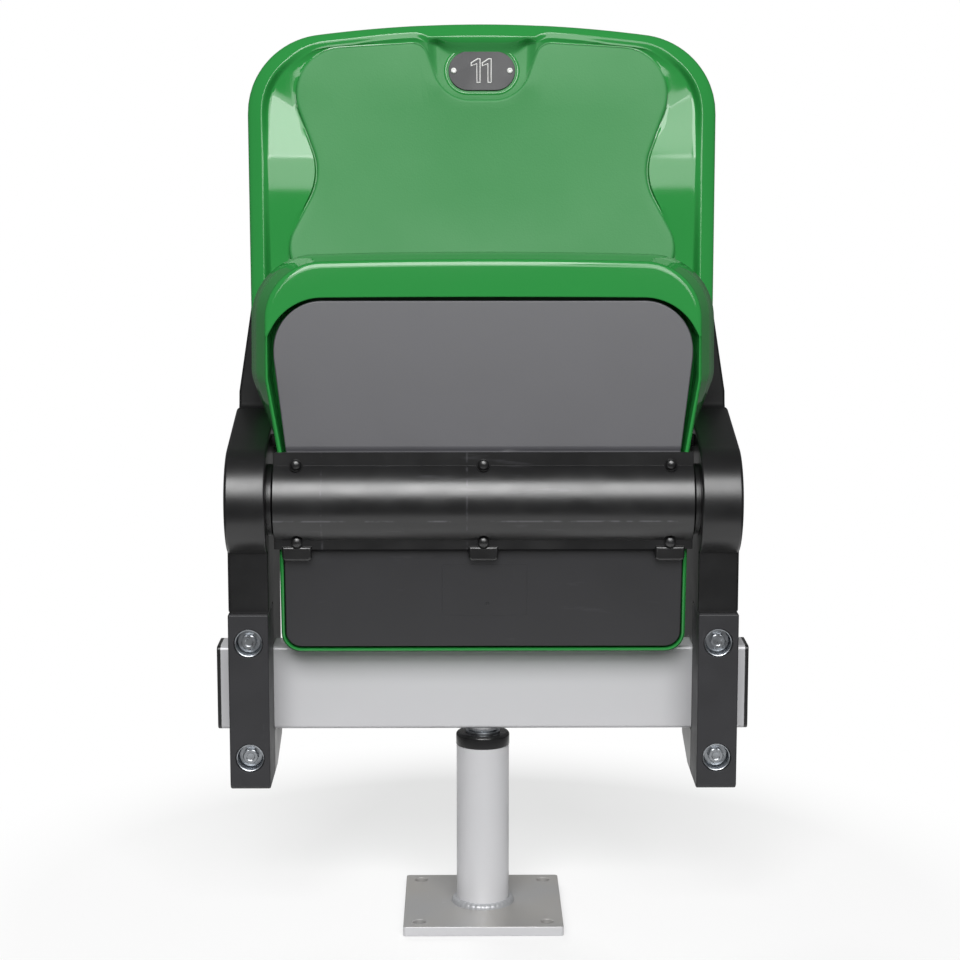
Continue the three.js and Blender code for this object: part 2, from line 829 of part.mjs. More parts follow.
function addHinge() {
  const stops = stopPlaces();
  const stopStart = hingeHalfWidth - stopOverlap;
  const capStart = frameOuter - pivotCapThickness + clearance;
  const axleEnd = capStart - clearance;
  const axle = rodAlong('x', axleDiameter / 2, -axleEnd, axleEnd, roundSteps);
  add(turret, 'axle', axle, brightSteel(), 0, axleY, axleZ);
  const lugInner = hingeHalfWidth - hingeDraft - lugThickness - hingeDraft;
  const springEnd = lugInner - clearance;
  const collarStart = springEnd - springTurns * springPitch - springWire - clearance - springCollarLength;
  const bushStart = hingeHalfWidth + clearance;
  const bushEnd = frameInner - clearance;
  for (const [side, name] of [[-1, 'left'], [1, 'right']]) {
    const place = (geometry) => (side > 0 ? geometry : mirrored(geometry));
    for (const [stop, { y, z }] of Object.entries(stops)) {
      add(turret, `${stop}_stop_${name}`, place(stopPin().translate(stopStart, 0, 0)), rubber(),
        0, axleY + y, axleZ + z);
    }
    const cap = rodAlong('x', pivotCapDiameter / 2, capStart, frameOuter, roundSteps);
    add(turret, `pivot_cap_${name}`, place(cap), blackPlastic(), 0, axleY, axleZ);
    const collar = tube(springCollarDiameter / 2, axleBore, springCollarLength).rotateY(Math.PI / 2);
    add(turret, `spring_collar_${name}`, place(collar.translate(collarStart, 0, 0)), brightSteel(),
      0, axleY, axleZ);
    const bush = ring([
      [axleBore, bushStart - bushLength], [bushRadius, bushStart - bushLength], [bushRadius, bushStart],
      [bushFlangeDiameter / 2, bushStart], [bushFlangeDiameter / 2, bushEnd], [axleBore, bushEnd],
    ]).rotateY(Math.PI / 2);
    add(seat, `hinge_bush_${name}`, place(bush), nylon());
    add(seat, `return_spring_${name}`, place(returnSpring(springEnd)), brightSteel());
  }
}

// A torsion spring about X whose last turn runs out in a straight leg along +Z
function returnSpring(end) {
  const stepsPerTurn = 8;
  const sides = 5;
  const wire = springWire / 2;
  const start = end - springTurns * springPitch - wire;
  const rings = [];
  const steps = springTurns * stepsPerTurn;
  const section = (centre, outward) => Array.from({ length: sides }, (_, k) => {
    const angle = 2 * Math.PI * k / sides;
    const point = outward.clone().multiplyScalar(wire * Math.cos(angle)).add(centre);
    point.x += wire * Math.sin(angle);
    return point;
  });
  const outward = new THREE.Vector3();
  const centre = new THREE.Vector3();
  for (let k = 0; k <= steps; k += 1) {
    const angle = -2 * Math.PI * (steps - k) / stepsPerTurn;
    outward.set(0, Math.cos(angle), Math.sin(angle));
    centre.copy(outward).multiplyScalar(springRadius);
    centre.x = start + springPitch * k / stepsPerTurn;
    rings.push(section(centre, outward));
  }
  const tip = centre.clone().add(new THREE.Vector3(0, 0, springLeg));
  rings.push(section(tip, outward));
  const firstCentre = new THREE.Vector3(start, springRadius, 0);
  console.log('least gap between the spring turns', springPitch - springWire);
  return ringBody(rings, firstCentre, tip);
}

// Seat, in [across, along, out]: along runs from the axle to the seat's front edge, out is the side
// that faces the floor when the seat is down

function seatCurve(along) {
  const far = Math.abs(along);
  if (far < seatBlend) return seatSlope * far * far / 2 / seatBlend;
  return seatSlope * (far - seatBlend / 2);
}

function toSeat(geometry) {
  return forEachPoint(geometry, (point) => {
    point.set(point.x, seatCurve(point.y) - point.z, point.y);
  });
}

function crestLevel(along) {
  const share = THREE.MathUtils.clamp((-along - rearTaperStart) / (seatRear - rearTaperStart), 0, 1);
  return -frontCrest + (frontCrest - rearCrest) * share * share;
}

// How far behind the axle the sitter's side of the seat lies at a place along it
function crestBehind(along) {
  return seatCurve(along) - crestLevel(along);
}

function sitLevel(across, along) {
  const dish = hingeDish + (frontDish - hingeDish) * smooth(along / dishGrowth);
  const share = across / (hingeHalfWidth - rimFootInset);
  return crestLevel(along) + dish * Math.max(0, 1 - share * share);
}

// The seat's outline set in by a distance from one that its corners describe
function seatOutline({ rear, foot, side, front, radius }, inset = 0) {
  const lift = inset * Math.tan(Math.atan2(side - foot, wingEnd - wingStart) / 2);
  const convex = (size) => Math.max(size - inset, rimLip);
  return rounded(symmetric([
    [foot - inset, inset - rear, convex(seatRearRadius), 4],
    [foot - inset, wingStart + lift, kneeRadius + inset, 2],
    [side - inset, wingEnd + lift, convex(wingRadius), 2],
    [side - inset, pocketShoulder, rimLip, 1],
    [side - inset, front - inset, convex(radius), 6],
  ], [0, inset - rear], [0, front - inset]));
}

function seatOutlines() {
  const rim = {
    rear: seatRear, foot: hingeHalfWidth, side: seatHalfWidth, front: seatFront, radius: seatCornerRadius,
  };
  const ridge = {
    rear: seatRear - hingeDraft, foot: hingeHalfWidth - hingeDraft, side: seatHalfWidth - sideDraft,
    front: seatFront - frontDraft, radius: seatCornerRadius - sideDraft / 2,
  };
  const pocketRear = -ridge.rear + rimLip;
  const pocket = rounded(symmetric([
    [pocketFootHalfWidth, pocketRear, seatRearRadius - rimLip, 4],
    [pocketFootHalfWidth - hingeDraft, wingStart, kneeRadius, 2],
    [ridge.side - rimLip, wingEnd, wingRadius, 2],
    [pocketHalfWidth, pocketShoulder, rimLip, 1],
    [pocketCornerReach, pocketFront, pocketCornerRadius, 6],
  ], [0, pocketRear], [0, pocketFront]));
  const outlines = [
    seatOutline(rim), seatOutline(ridge), pocket, seatOutline(rim, rimFootInset), seatOutline(rim, seatPadInset),
  ];
  return divided(outlines, seatCornerRadius);
}

function seatPan() {
  const [rim, ridge, pocket, foot, pad] = seatOutlines();
  const at = (outline, level) => outline.map(({ x, y }) => new THREE.Vector3(x, y, level(x, y)));
  const middle = new THREE.Vector2(0, wingStart);
  const floor = offset(pocket, -pocketDraft);
  const inside = (x, y) => sitLevel(x, y) + seatSkin;
  const rings = [
    at(shrunk(pad, middle, 1 / 3), sitLevel),
    at(shrunk(pad, middle, 2 / 3), sitLevel),
    at(pad, sitLevel),
    at(foot, (x, y) => crestLevel(y) + rimRoll / 7),
    at(offset(rim, -rimCrestInset), (x, y) => crestLevel(y)),
    at(offset(rim, -rimCrestInset / 5), (x, y) => crestLevel(y) + rimRoll / 3),
    at(rim, (x, y) => crestLevel(y) + rimRoll),
    at(offset(ridge, hingeDraft / 2), () => undersideLevel - ridgeRound),
    at(ridge, () => undersideLevel),
    at(pocket, () => undersideLevel),
    at(floor, inside),
    at(shrunk(floor, middle, 2 / 3), inside),
    at(shrunk(floor, middle, 1 / 3), inside),
  ];
  const top = new THREE.Vector3(0, middle.y, sitLevel(0, middle.y));
  const under = new THREE.Vector3(0, middle.y, sitLevel(0, middle.y) + seatSkin);
  const shell = toSeat(ringBody(rings, top, under));
  return cut(join(shell, ...seatRibs(), ...hingeLugs()), ...hingeLugs(bushRadius + clearance));
}

function seatRibs() {
  const base = -frontCrest + hingeDish + seatSkin - clearance;
  return ribPlaces.map((place) => {
    const proud = place > 0 ? panelProud : panelProud / 2;
    const top = undersideLevel + proud - panelThickness - clearance;
    const half = (place > 0 ? pocketHalfWidth - sideDraft : pocketFootHalfWidth) + rimLip / 2;
    const half1 = Math.min(half, pocketFootHalfWidth + Math.max(0, place) / 10);
    const low = place > 0 ? base : Math.max(base, crestLevel(place) + seatSkin / 2);
    return toSeat(block(-half1, half1, place - ribThickness / 2, place + ribThickness / 2, low, top));
  });
}

// Two lugs inside the pan that hold the bushes, or the bores through them
function hingeLugs(bore = 0) {
  const end = hingeHalfWidth - hingeDraft - rimLip / 2;
  const start = hingeHalfWidth - 2 * hingeDraft - lugThickness;
  return [-1, 1].flatMap((side) => {
    const [x0, x1] = side > 0 ? [start, end] : [-end, -start];
    if (bore > 0) return [rodAlong('x', bore, x0 - overrun, x1 + overrun, roundSteps)];
    const half = lugDiameter / 2;
    const web = block(x0, x1, 0, frontCrest - rimRoll / 4, -half, half);
    return [join(rodAlong('x', half, x0, x1, roundSteps), web)];
  });
}

// A panel from its outline across the seat and its section along it
function panel(outline, section) {
  const axes = new THREE.Matrix4().makeBasis(
    new THREE.Vector3(0, 1, 0), new THREE.Vector3(0, 0, 1), new THREE.Vector3(1, 0, 0));
  const width = 2 * seatHalfWidth;
  const body = prism(section.map(([along, out]) => new THREE.Vector2(along, out)), width)
    .translate(0, 0, -width / 2).applyMatrix4(axes);
  const slab = prism(outline, 2 * barrelRadius).translate(0, 0, -barrelRadius);
  return toSeat(overlapOf(body, slab));
}

function upperPanel() {
  const top = undersideLevel + panelProud;
  const lip = top - panelLipDrop;
  const start = coverTopReach + clearance;
  const outline = rounded(symmetric([
    [panelFootHalfWidth, start - panelLipReach, rimLip, 1],
    [panelFootHalfWidth, start, kneeRadius, 1],
    [panelHalfWidth, panelShoulder, panelCornerRadius, 3],
    [panelHalfWidth, panelFront, panelCornerRadius, 5],
  ], [0, start - panelLipReach], [0, panelFront]));
  return drilled(panel(outline, [
    [start - panelLipReach, top - panelThickness - panelLipDrop / 2],
    [start, top - panelThickness - panelLipDrop / 2], [start + panelBevel, top - panelThickness],
    [panelFront + overrun, top - panelThickness], [panelFront + overrun, top],
    [start + panelBevel, top], [start, lip], [start - panelLipReach, lip],
  ]), pinRise);
}

function lowerPanel() {
  const top = undersideLevel + panelProud / 2;
  const low = top - lowerStripDrop;
  const start = -coverBottomReach - clearance;
  const rear = -seatRear + hingeDraft + rimLip + panelRearGap;
  const half = pocketFootHalfWidth - panelRearGap;
  const outline = rounded(symmetric([
    [half, rear, seatRearRadius - rimLip - panelRearGap, 4],
    [half, start + panelLipReach, rimLip, 1],
  ], [0, rear], [0, start + panelLipReach]));
  return drilled(panel(outline, [
    [rear - overrun, top - panelThickness], [start - lowerStrip, top - panelThickness],
    [start, low - panelThickness], [start + panelLipReach, low - panelThickness],
    [start + panelLipReach, low], [start, low], [start - lowerStrip, top], [rear - overrun, top],
  ]), -pinRise);
}

// Clearance holes for the cover's pins
function drilled(geometry, rise) {
  const tool = rodAlong('y', pinShankDiameter / 2 + clearance, -barrelRadius, 0);
  return cut(geometry, ...[-pinSpacing, 0, pinSpacing].map((x) => tool.clone().translate(x, 0, rise)));
}

// The barrel's section in Y and Z: an arc in front of the axle between two flanges
function coverSection(radius, level, top, bottom) {
  const angle = Math.PI - Math.acos(level / radius);
  const arc = new THREE.EllipseCurve(0, 0, radius, radius, angle, 2 * Math.PI - angle)
    .getPoints(smallSteps).map(({ x, y }) => new THREE.Vector2(x, y));
  return { arc, top: new THREE.Vector2(-level, top), bottom: new THREE.Vector2(-level, -bottom) };
}

function hingeCover() {
  const inside = coverFlangeLevel - coverWall;
  const outer = coverSection(barrelRadius, coverFlangeLevel, coverTopReach, coverBottomReach);
  const inner = coverSection(barrelRadius - coverWall, inside, coverTopReach, coverBottomReach);
  const width = 2 * coverHalfWidth;
  const skin = acrossSeat(
    [outer.top, ...outer.arc, outer.bottom, inner.bottom, ...inner.arc.reverse(), inner.top], width);
  const filled = (wide) => acrossSeat([outer.top, ...outer.arc, outer.bottom, inner.bottom, inner.top], wide);
  const endPlace = coverHalfWidth - coverWall / 2;
  const ends = [-endPlace, endPlace].map((x) => filled(coverWall).translate(x, 0, 0));
  const whole = filled(width);
  const places = [-pinSpacing, 0, pinSpacing].flatMap((x) => [[x, pinRise], [x, -pinRise]]);
  const bosses = places.map(([x, z]) => overlapOf(whole,
    rodAlong('y', pinBossDiameter / 2, -barrelRadius, -inside + overrun).translate(x, 0, z)));
  const tabs = [-pinSpacing, 0, pinSpacing].map((x) => coverTab().translate(x, 0, 0));
  const tools = places.flatMap(([x, z]) => [
    rodAlong('y', pinRecessDiameter / 2, -barrelRadius, -coverFlangeLevel).translate(x, 0, z),
    rodAlong('y', pinShankDiameter / 2 + clearance, -barrelRadius, 0).translate(x, 0, z),
  ]);
  return cut(join(skin, ...ends, ...bosses, ...tabs), ...tools);
}

function coverTab() {
  const [half, top] = [tabWidth / 2, -coverBottomReach + coverWall];
  const bottom = -coverBottomReach - tabDepth;
  const outline = rounded([
    [-half, bottom, tabCornerRadius, 3], [half, bottom, tabCornerRadius, 3], [half, top], [-half, top],
  ]);
  return facingFront(prism(outline, tabThickness)).translate(0, -coverFlangeLevel + tabThickness, 0);
}

function coverPin() {
  const [head, shank] = [pinHeadDiameter / 2, pinShankDiameter / 2];
  return facingFront(turned([
    [0, -pinShankLength], [shank, -pinShankLength], [shank, 0], [head, 0],
    [head, pinHeadHeight * 0.8], [head * 0.75, pinHeadHeight], [0, pinHeadHeight],
  ], smallSteps));
}

function addSeat() {
  add(seat, 'seat_pan', seatPan(), greenPlastic());
  add(seat, 'upper_panel', upperPanel(), panelPlastic());
  add(seat, 'lower_panel', lowerPanel(), panelPlastic());
  add(seat, 'hinge_cover', hingeCover(), blackPlastic());
  let number = 1;
  for (const rise of [pinRise, -pinRise]) {
    for (const x of [-pinSpacing, 0, pinSpacing]) {
      add(seat, `cover_pin_${number}`, coverPin(), blackPlastic(), x, -coverFlangeLevel, rise);
      number += 1;
    }
  }
}

// Back, in [across, along, out]: along runs up its face from its bottom edge

function toBack(geometry) {
  return forEachPoint(geometry, (point) => point.set(point.x, -point.z, point.y));
}

function backScrewAcross(rise) {
  return backFootHalfWidth - backScrewInset - rise / 50;
}

function backOutline() {
  return rounded(symmetric([
    [backFootHalfWidth, 0, backFootRadius, 5],
    [backHalfWidth, backHeight - backCornerDrop, backCornerRadius, 8],
  ], [0, 0], [0, backHeight + backCrownRise, backCrownRadius, 6]));
}

function padOutline() {
  const corners = padCornerShares.map(([x, y, radius]) => (
    [x * backHalfWidth, y * backHeight, radius * backHalfWidth]));
  return divided([rounded(symmetric(corners, [0, padBottomShare * backHeight],
    [0, padTopShare * backHeight]))], backCornerRadius / 2)[0];
}

// Where a ray from the middle of the back meets an outline
function rayTo(outline, middle, target) {
  const ray = target.clone().sub(middle);
  for (let i = 0; i < outline.length; i += 1) {
    const [a, b] = [outline[i], outline[(i + 1) % outline.length]];
    const side = b.clone().sub(a);
    const from = a.clone().sub(middle);
    const spread = ray.cross(side);
    const far = from.cross(side) / spread;
    const share = from.cross(ray) / spread;
    if (far > 0 && share >= 0 && share <= 1) return ray.multiplyScalar(far).add(middle);
  }
  throw new Error('the outline does not enclose the middle of the back');
}

// Rays start in the middle of the back, but straight below the notch that holds the number plate
function raySource(point, middle) {
  const notch = padCornerShares[4][0] * backHalfWidth;
  if (point.y < middle.y) return middle;
  return new THREE.Vector2(point.x * (1 - smooth((Math.abs(point.x) - notch) / notch)), middle.y);
}

// An outline well inside the pad that has only a trace of its notch
function padCore(pad, middle) {
  const brim = THREE.MathUtils.lerp(middle.y, padTopShare * backHeight, coreBrimShare);
  return pad.map(({ x, y }) => {
    const width = x * (coreWidthShare - coreNarrowShare * Math.abs(x) / backHalfWidth);
    const height = Math.min(y, brim) + Math.max(0, y - brim) * coreNotchShare;
    return new THREE.Vector2(width, THREE.MathUtils.lerp(middle.y, height, coreHeightShare));
  });
}

// The pad's face: a dish that is deepest at the sitter's lower back
function padLevel(across, along) {
  const side = across / (padCornerShares[3][0] * backHalfWidth);
  const rise = along / (padDeepShare * backHeight) - 1;
  return -padLift - padDish * Math.max(0, 1 - side * side) * Math.max(0, 1 - rise * rise);
}

function backShell() {
  const pad = padOutline();
  const middle = new THREE.Vector2(0, backHeight / 2);
  const edge = pad.map((point) => rayTo(backOutline(), raySource(point, middle), point));
  const core = padCore(pad, middle);
  const padBrim = offset(pad, -padRound);
  const widths = pad.map((point, i) => point.distanceTo(edge[i]));
  const inset = (size, share) => offset(edge, widths.map((width) => -Math.min(size, share * width)));
  const crest = inset(crestInset, 0.45);
  const foot = inset(valleyInset, 0.75);
  const padFoot = offset(pad, widths.map((width) => Math.min(padEdge / 2, 0.08 * width)));
  const valley = (x, y, i) => -valleyDepth * smooth((widths[i] - crestInset) / valleyWidth);
  const padSide = (x, y, i) => {
    const level = padLevel(x, y);
    return Math.min(level - padEdge / 2, (level + valley(x, y, i)) / 2);
  };
  const flangeStart = armReach + backCornerRadius / 2;
  const growth = (y) => smooth((y - flangeStart) / backFlangeGrowth);
  const flange = (x, y) => -backLand - (backFlange - backLand) * growth(y);
  const at = (outline, level) => outline.map(({ x, y }, i) => new THREE.Vector3(x, y, level(x, y, i)));
  const behindPad = (x, y) => padLevel(x, y) - backWall;
  const rings = [
    at(shrunk(core, middle, 1 / 2), padLevel),
    at(core, padLevel),
    at(between(core, padBrim, 1 / 2), padLevel),
    at(padBrim, padLevel),
    at(offset(pad, -padEdge / 4), (x, y) => padLevel(x, y) - padEdge / 4),
    at(pad, padSide),
    at(padFoot, valley),
    at(between(padFoot, foot, 0.5), valley),
    at(foot, valley),
    at(crest, () => 0),
    at(offset(edge, -crestInset / 5), () => -crestRound / 5),
    at(edge, () => -crestRound),
    at(edge, (x, y) => flange(x, y)),
    at(offset(edge, -backWall), flange),
    at(inset(backWall + padEdge / 2, 0.5), () => -backLand),
    at(offset(pad, -padEdge / 2), () => -backLand),
    at(padBrim, behindPad),
    at(between(core, padBrim, 1 / 2), behindPad),
    at(core, behindPad),
    at(shrunk(core, middle, 1 / 2), behindPad),
  ];
  const front = new THREE.Vector3(0, middle.y, padLevel(0, middle.y));
  const rear = new THREE.Vector3(0, middle.y, behindPad(0, middle.y));
  const shell = toBack(ringBody(rings, front, rear));
  const screwEnd = backLand - backScrewBite;
  const screwHole = rodAlong('y', backScrewDiameter / 2 + clearance, screwEnd, backLand + overrun);
  const screwHoles = backScrewRises.flatMap((rise) => [-1, 1].map((side) => (
    screwHole.clone().translate(side * backScrewAcross(rise), 0, rise))));
  const rivetHole = rodAlong('y', rivetShankDiameter / 2 + clearance, 0, valleyDepth + rivetShankLength);
  const rivetHoles = [-1, 1].map((side) => (
    rivetHole.clone().translate(side * rivetSpacing / 2, 0, numberPlateRise)));
  return cut(shell, ...screwHoles, ...rivetHoles);
}

function numberPlate() {
  const [x, y] = [numberPlateWidth / 2, numberPlateHeight / 2];
  const outline = rounded([[-x, -y, y, 8], [x, -y, y, 8], [x, y, y, 8], [-x, y, y, 8]]);
  const holes = [-1, 1].map((side) => rod(rivetShankDiameter / 2 + clearance, overrun)
    .translate(side * rivetSpacing / 2, 0, 0));
  return facingFront(cut(prism(outline, numberPlateThickness), ...holes));
}

function plateRivet() {
  const [head, shank] = [rivetHeadDiameter / 2, rivetShankDiameter / 2];
  const end = -rivetShankLength + clearance;
  return facingFront(turned([
    [0, end], [shank, end], [shank, 0], [head, 0], [head * 0.8, rivetHeadHeight * 0.7], [0, rivetHeadHeight],
  ], smallSteps));
}

function backScrew() {
  const [head, shank] = [backScrewHeadDiameter / 2, backScrewDiameter / 2];
  const length = armThickness + clearance + backScrewBite;
  return turned([
    [0, clearance - length], [shank, clearance - length], [shank, 0], [head, 0],
    [head * 0.8, backScrewHeadHeight], [0, backScrewHeadHeight],
  ], smallSteps).rotateX(-Math.PI / 2);
}

function addBack() {
  add(back, 'back_shell', backShell(), greenPlastic());
  const plateBack = -valleyDepth + clearance;
  add(back, 'number_plate', numberPlate(), platePlastic(), 0, -plateBack, numberPlateRise);
  const rivetSeat = plateBack + numberPlateThickness + clearance;
  add(back, 'plate_rivet_left', plateRivet(), brightSteel(), -rivetSpacing / 2, -rivetSeat, numberPlateRise);
  add(back, 'plate_rivet_right', plateRivet(), brightSteel(), rivetSpacing / 2, -rivetSeat, numberPlateRise);
  const screwSeat = backLand + 2 * clearance + armThickness;
  let number = 1;
  for (const side of [-1, 1]) {
    for (const rise of backScrewRises) {
      add(back, `back_screw_${number}`, backScrew(), brightSteel(),
        side * backScrewAcross(rise), screwSeat, rise);
      number += 1;
    }
  }
}

addPedestal();
addBeam();
addFrames();
addHinge();
addSeat();
addBack();

export default group;
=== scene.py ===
# Tip-up stadium seat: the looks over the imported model.
# Shapes are worked out in millimetres, +Z up, and go into Blender in metres. The sitter faces -Y.
from math import acos, atan2, copysign, cos, exp, hypot, pi, radians, sin, sqrt, tan
import bmesh
import bpy
from mathutils import Matrix, Vector, noise


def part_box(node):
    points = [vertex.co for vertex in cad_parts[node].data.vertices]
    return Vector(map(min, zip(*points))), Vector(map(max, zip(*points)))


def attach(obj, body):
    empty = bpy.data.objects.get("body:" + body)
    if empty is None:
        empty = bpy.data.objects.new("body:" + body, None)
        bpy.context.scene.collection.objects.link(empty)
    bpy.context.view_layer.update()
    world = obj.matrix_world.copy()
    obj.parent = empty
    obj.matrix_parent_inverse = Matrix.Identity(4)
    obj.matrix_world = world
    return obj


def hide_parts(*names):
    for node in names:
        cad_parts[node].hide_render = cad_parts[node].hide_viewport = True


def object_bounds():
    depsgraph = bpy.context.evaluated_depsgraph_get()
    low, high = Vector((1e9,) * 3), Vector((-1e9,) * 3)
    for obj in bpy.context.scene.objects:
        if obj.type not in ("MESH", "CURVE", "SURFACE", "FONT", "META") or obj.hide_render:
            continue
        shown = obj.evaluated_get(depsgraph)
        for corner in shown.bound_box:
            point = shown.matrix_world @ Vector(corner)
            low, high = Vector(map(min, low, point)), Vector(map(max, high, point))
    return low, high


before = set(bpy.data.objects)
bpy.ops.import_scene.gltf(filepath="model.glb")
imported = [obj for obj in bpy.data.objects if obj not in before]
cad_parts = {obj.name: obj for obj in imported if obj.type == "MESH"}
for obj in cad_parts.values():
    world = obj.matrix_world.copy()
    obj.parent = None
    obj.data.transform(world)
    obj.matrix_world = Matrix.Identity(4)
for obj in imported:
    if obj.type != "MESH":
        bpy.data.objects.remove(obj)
cadLow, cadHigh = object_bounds()
mm = 0.001
clearance = 0.3


def middleOf(node):
    low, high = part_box(node)
    return (low + high) / 2 / mm


# From where to where a node reaches along one axis
def reachOf(node, axis):
    return [corner[axis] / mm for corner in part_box(node)]


axle = middleOf("axle")
print("frame loaded:", len(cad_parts), "nodes")


# Even steps from start to end, with both ends
def spread(start, end, count):
    return [start + (end - start) * k / count for k in range(count + 1)]


def arc(radius, turns, middle=(0, 0)):
    return [Vector((middle[0] + radius * cos(t), middle[1] + radius * sin(t))) for t in turns]


def limited(share):
    return max(0, min(1, share))


def smoothStep(share):
    t = limited(share)
    return t * t * (3 - 2 * t)


def crossed(a, b):
    return a.x * b.y - a.y * b.x


# Corners are (x, y, radius, steps); each is rounded by an arc that touches both sides
def rounded(corners, steps=8):
    points = []
    for i, (x, y, *rest) in enumerate(corners):
        radius = rest[0] if rest else 0
        count = rest[1] if len(rest) > 1 else steps
        corner = Vector((x, y))
        behind = Vector(corners[i - 1][:2]) - corner
        ahead = Vector(corners[(i + 1) % len(corners)][:2]) - corner
        room = min(behind.length, ahead.length)
        behind.normalize()
        ahead.normalize()
        half = acos(max(-1, min(1, behind.dot(ahead)))) / 2
        reach = min(radius / tan(half), room)
        size = reach * tan(half)
        if size == 0:
            points.append(corner)
            continue
        middle = corner + (behind + ahead).normalized() * size / sin(half)
        start = corner + behind * reach - middle
        end = corner + ahead * reach - middle
        for turn in spread(0, atan2(crossed(start, end), start.dot(end)), count):
            points.append(middle + Vector((start.x * cos(turn) - start.y * sin(turn),
                                           start.x * sin(turn) + start.y * cos(turn))))
    return points


def rectangle(x, y, radius, steps=8):
    return rounded([(-x, -y, radius), (x, -y, radius), (x, y, radius), (-x, y, radius)], steps)


def symmetric(right, bottom, top):
    return [bottom, *right, top, *[(-x, *rest) for x, *rest in reversed(right)]]


# Adds points along the long sides of several outlines alike
def divided(outlines, spacing):
    first = outlines[0]
    counts = [max(1, round((first[(i + 1) % len(first)] - p).length / spacing))
              for i, p in enumerate(first)]
    return [[outline[i].lerp(outline[(i + 1) % len(outline)], k / counts[i])
             for i in range(len(outline)) for k in range(counts[i])] for outline in outlines]


# Moves an anticlockwise outline outwards, with square corners kept square
def offset(outline, distance):
    moved = []
    for i, point in enumerate(outline):
        before = point - outline[i - 1]
        after = outline[(i + 1) % len(outline)] - point
        before = before if before.length > 1e-6 else after
        after = after if after.length > 1e-6 else before
        first = Vector((before.y, -before.x)).normalized()
        second = Vector((after.y, -after.x)).normalized()
        out = (first + second).normalized()
        far = distance[i] if isinstance(distance, list) else distance
        moved.append(point + out * far / max(0.5, out.dot(first)))
    return moved


def shrunk(outline, middle, share):
    return [middle.lerp(p, share) for p in outline]


def between(first, second, share):
    return [a.lerp(b, share) for a, b in zip(first, second)]


# Where a ray from one point through another meets an outline
def rayTo(outline, source, target):
    ray = target - source
    for i, a in enumerate(outline):
        side = outline[(i + 1) % len(outline)] - a
        slant = crossed(ray, side)
        if abs(slant) < 1e-9:
            continue
        far = crossed(a - source, side) / slant
        share = crossed(a - source, ray) / slant
        if far > 0 and -1e-6 <= share <= 1 + 1e-6:
            return source + ray * far


def alongX(p):  # drawn in Y and Z, drawn out along X
    return Vector((p[2], p[0], p[1]))


def facingFront(p):  # drawn in X and Z, height towards the viewer
    return Vector((p[0], -p[2], p[1]))


aroundAxle = {"to": alongX, "at": axle}


def addObject(name, data):
    made = bpy.data.objects.new(name, data)
    bpy.context.scene.collection.objects.link(made)
    return made


# Welds the corners, turns every face outwards and marks the sharp edges
def cleanMesh(mesh, sharp=32):
    work = bmesh.new()
    work.from_mesh(mesh)
    bmesh.ops.remove_doubles(work, verts=work.verts, dist=1e-6)
    bmesh.ops.dissolve_degenerate(work, edges=work.edges, dist=1e-7)
    bmesh.ops.recalc_face_normals(work, faces=work.faces)
    work.to_mesh(mesh)
    work.free()
    shadeSmooth(mesh, sharp)


def shadeSmooth(mesh, sharp):
    mesh.polygons.foreach_set("use_smooth", [True] * len(mesh.polygons))
    mesh.set_sharp_from_angle(angle=radians(sharp))


# A skin through loops of equal length, closed with two faces or joined end to end
def loft(name, loops, finish, wrap=False, bands=None, to=Vector, at=(0, 0, 0), sharp=32):
    count = len(loops[0])
    faces, parts = [], []
    for k in range(len(loops) if wrap else len(loops) - 1):
        after = (k + 1) % len(loops)
        for i in range(count):
            j = (i + 1) % count
            faces.append((k * count + i, k * count + j, after * count + j, after * count + i))
            parts.append(bands[k] if bands else 0)
    if not wrap:
        last = (len(loops) - 1) * count
        faces += [tuple(reversed(range(count))), tuple(range(last, last + count))]
        parts += [bands[0], bands[-1]] if bands else [0, 0]
    mesh = bpy.data.meshes.new(name)
    mesh.from_pydata([(to(p) + Vector(at)) * mm for loop in loops for p in loop], [], faces)
    for material in finish if isinstance(finish, list) else [finish]:
        mesh.materials.append(material)
    mesh.polygons.foreach_set("material_index", parts)
    cleanMesh(mesh, sharp)
    return addObject(name, mesh)


# A turned piece from (radius, height) pairs; with a bore, the profile closes on itself
def turned(name, profile, finish, bore=True, steps=72, **where):
    ring = [(cos(2 * pi * k / steps), sin(2 * pi * k / steps)) for k in range(steps)]
    return loft(name, [[(r * x, r * y, h) for x, y in ring] for r, h in profile], finish, wrap=bore,
                **where)


# A ring's profile with both outer edges cut off
def ringProfile(bore, radius, low, high, edge):
    return [(bore, low), (radius - edge, low), (radius, low + edge), (radius, high - edge),
            (radius - edge, high), (bore, high)]


# Quarter-round steps from a flat face to a side: (set in, set down) pairs
def roundOver(radius, steps=4):
    return [(radius * (1 - sin(t)), radius * (1 - cos(t))) for t in spread(0, pi / 2, steps)]


def prism(name, outline, low, high, finish, edges=(0.6, 0.6), steps=3, **where):
    loops = [[(p.x, p.y, low + down) for p in offset(outline, -inset)]
             for inset, down in roundOver(edges[0], steps)]
    loops += [[(p.x, p.y, high - down) for p in offset(outline, -inset)]
              for inset, down in reversed(roundOver(edges[1], steps))]
    return loft(name, loops, finish, **where)


def combine(piece, tools, how):
    for tool in tools:
        step = piece.modifiers.new("combine", "BOOLEAN")
        step.operation = how
        step.solver = "EXACT"
        step.object = tool
    graph = bpy.context.evaluated_depsgraph_get()
    mesh = bpy.data.meshes.new_from_object(piece.evaluated_get(graph))
    piece.modifiers.clear()
    piece.data = mesh
    for tool in tools:
        bpy.data.objects.remove(tool)
    cleanMesh(mesh)
    return piece


def carve(piece, *tools):
    return combine(piece, tools, "DIFFERENCE")


def fuse(piece, *tools):
    return combine(piece, tools, "UNION")


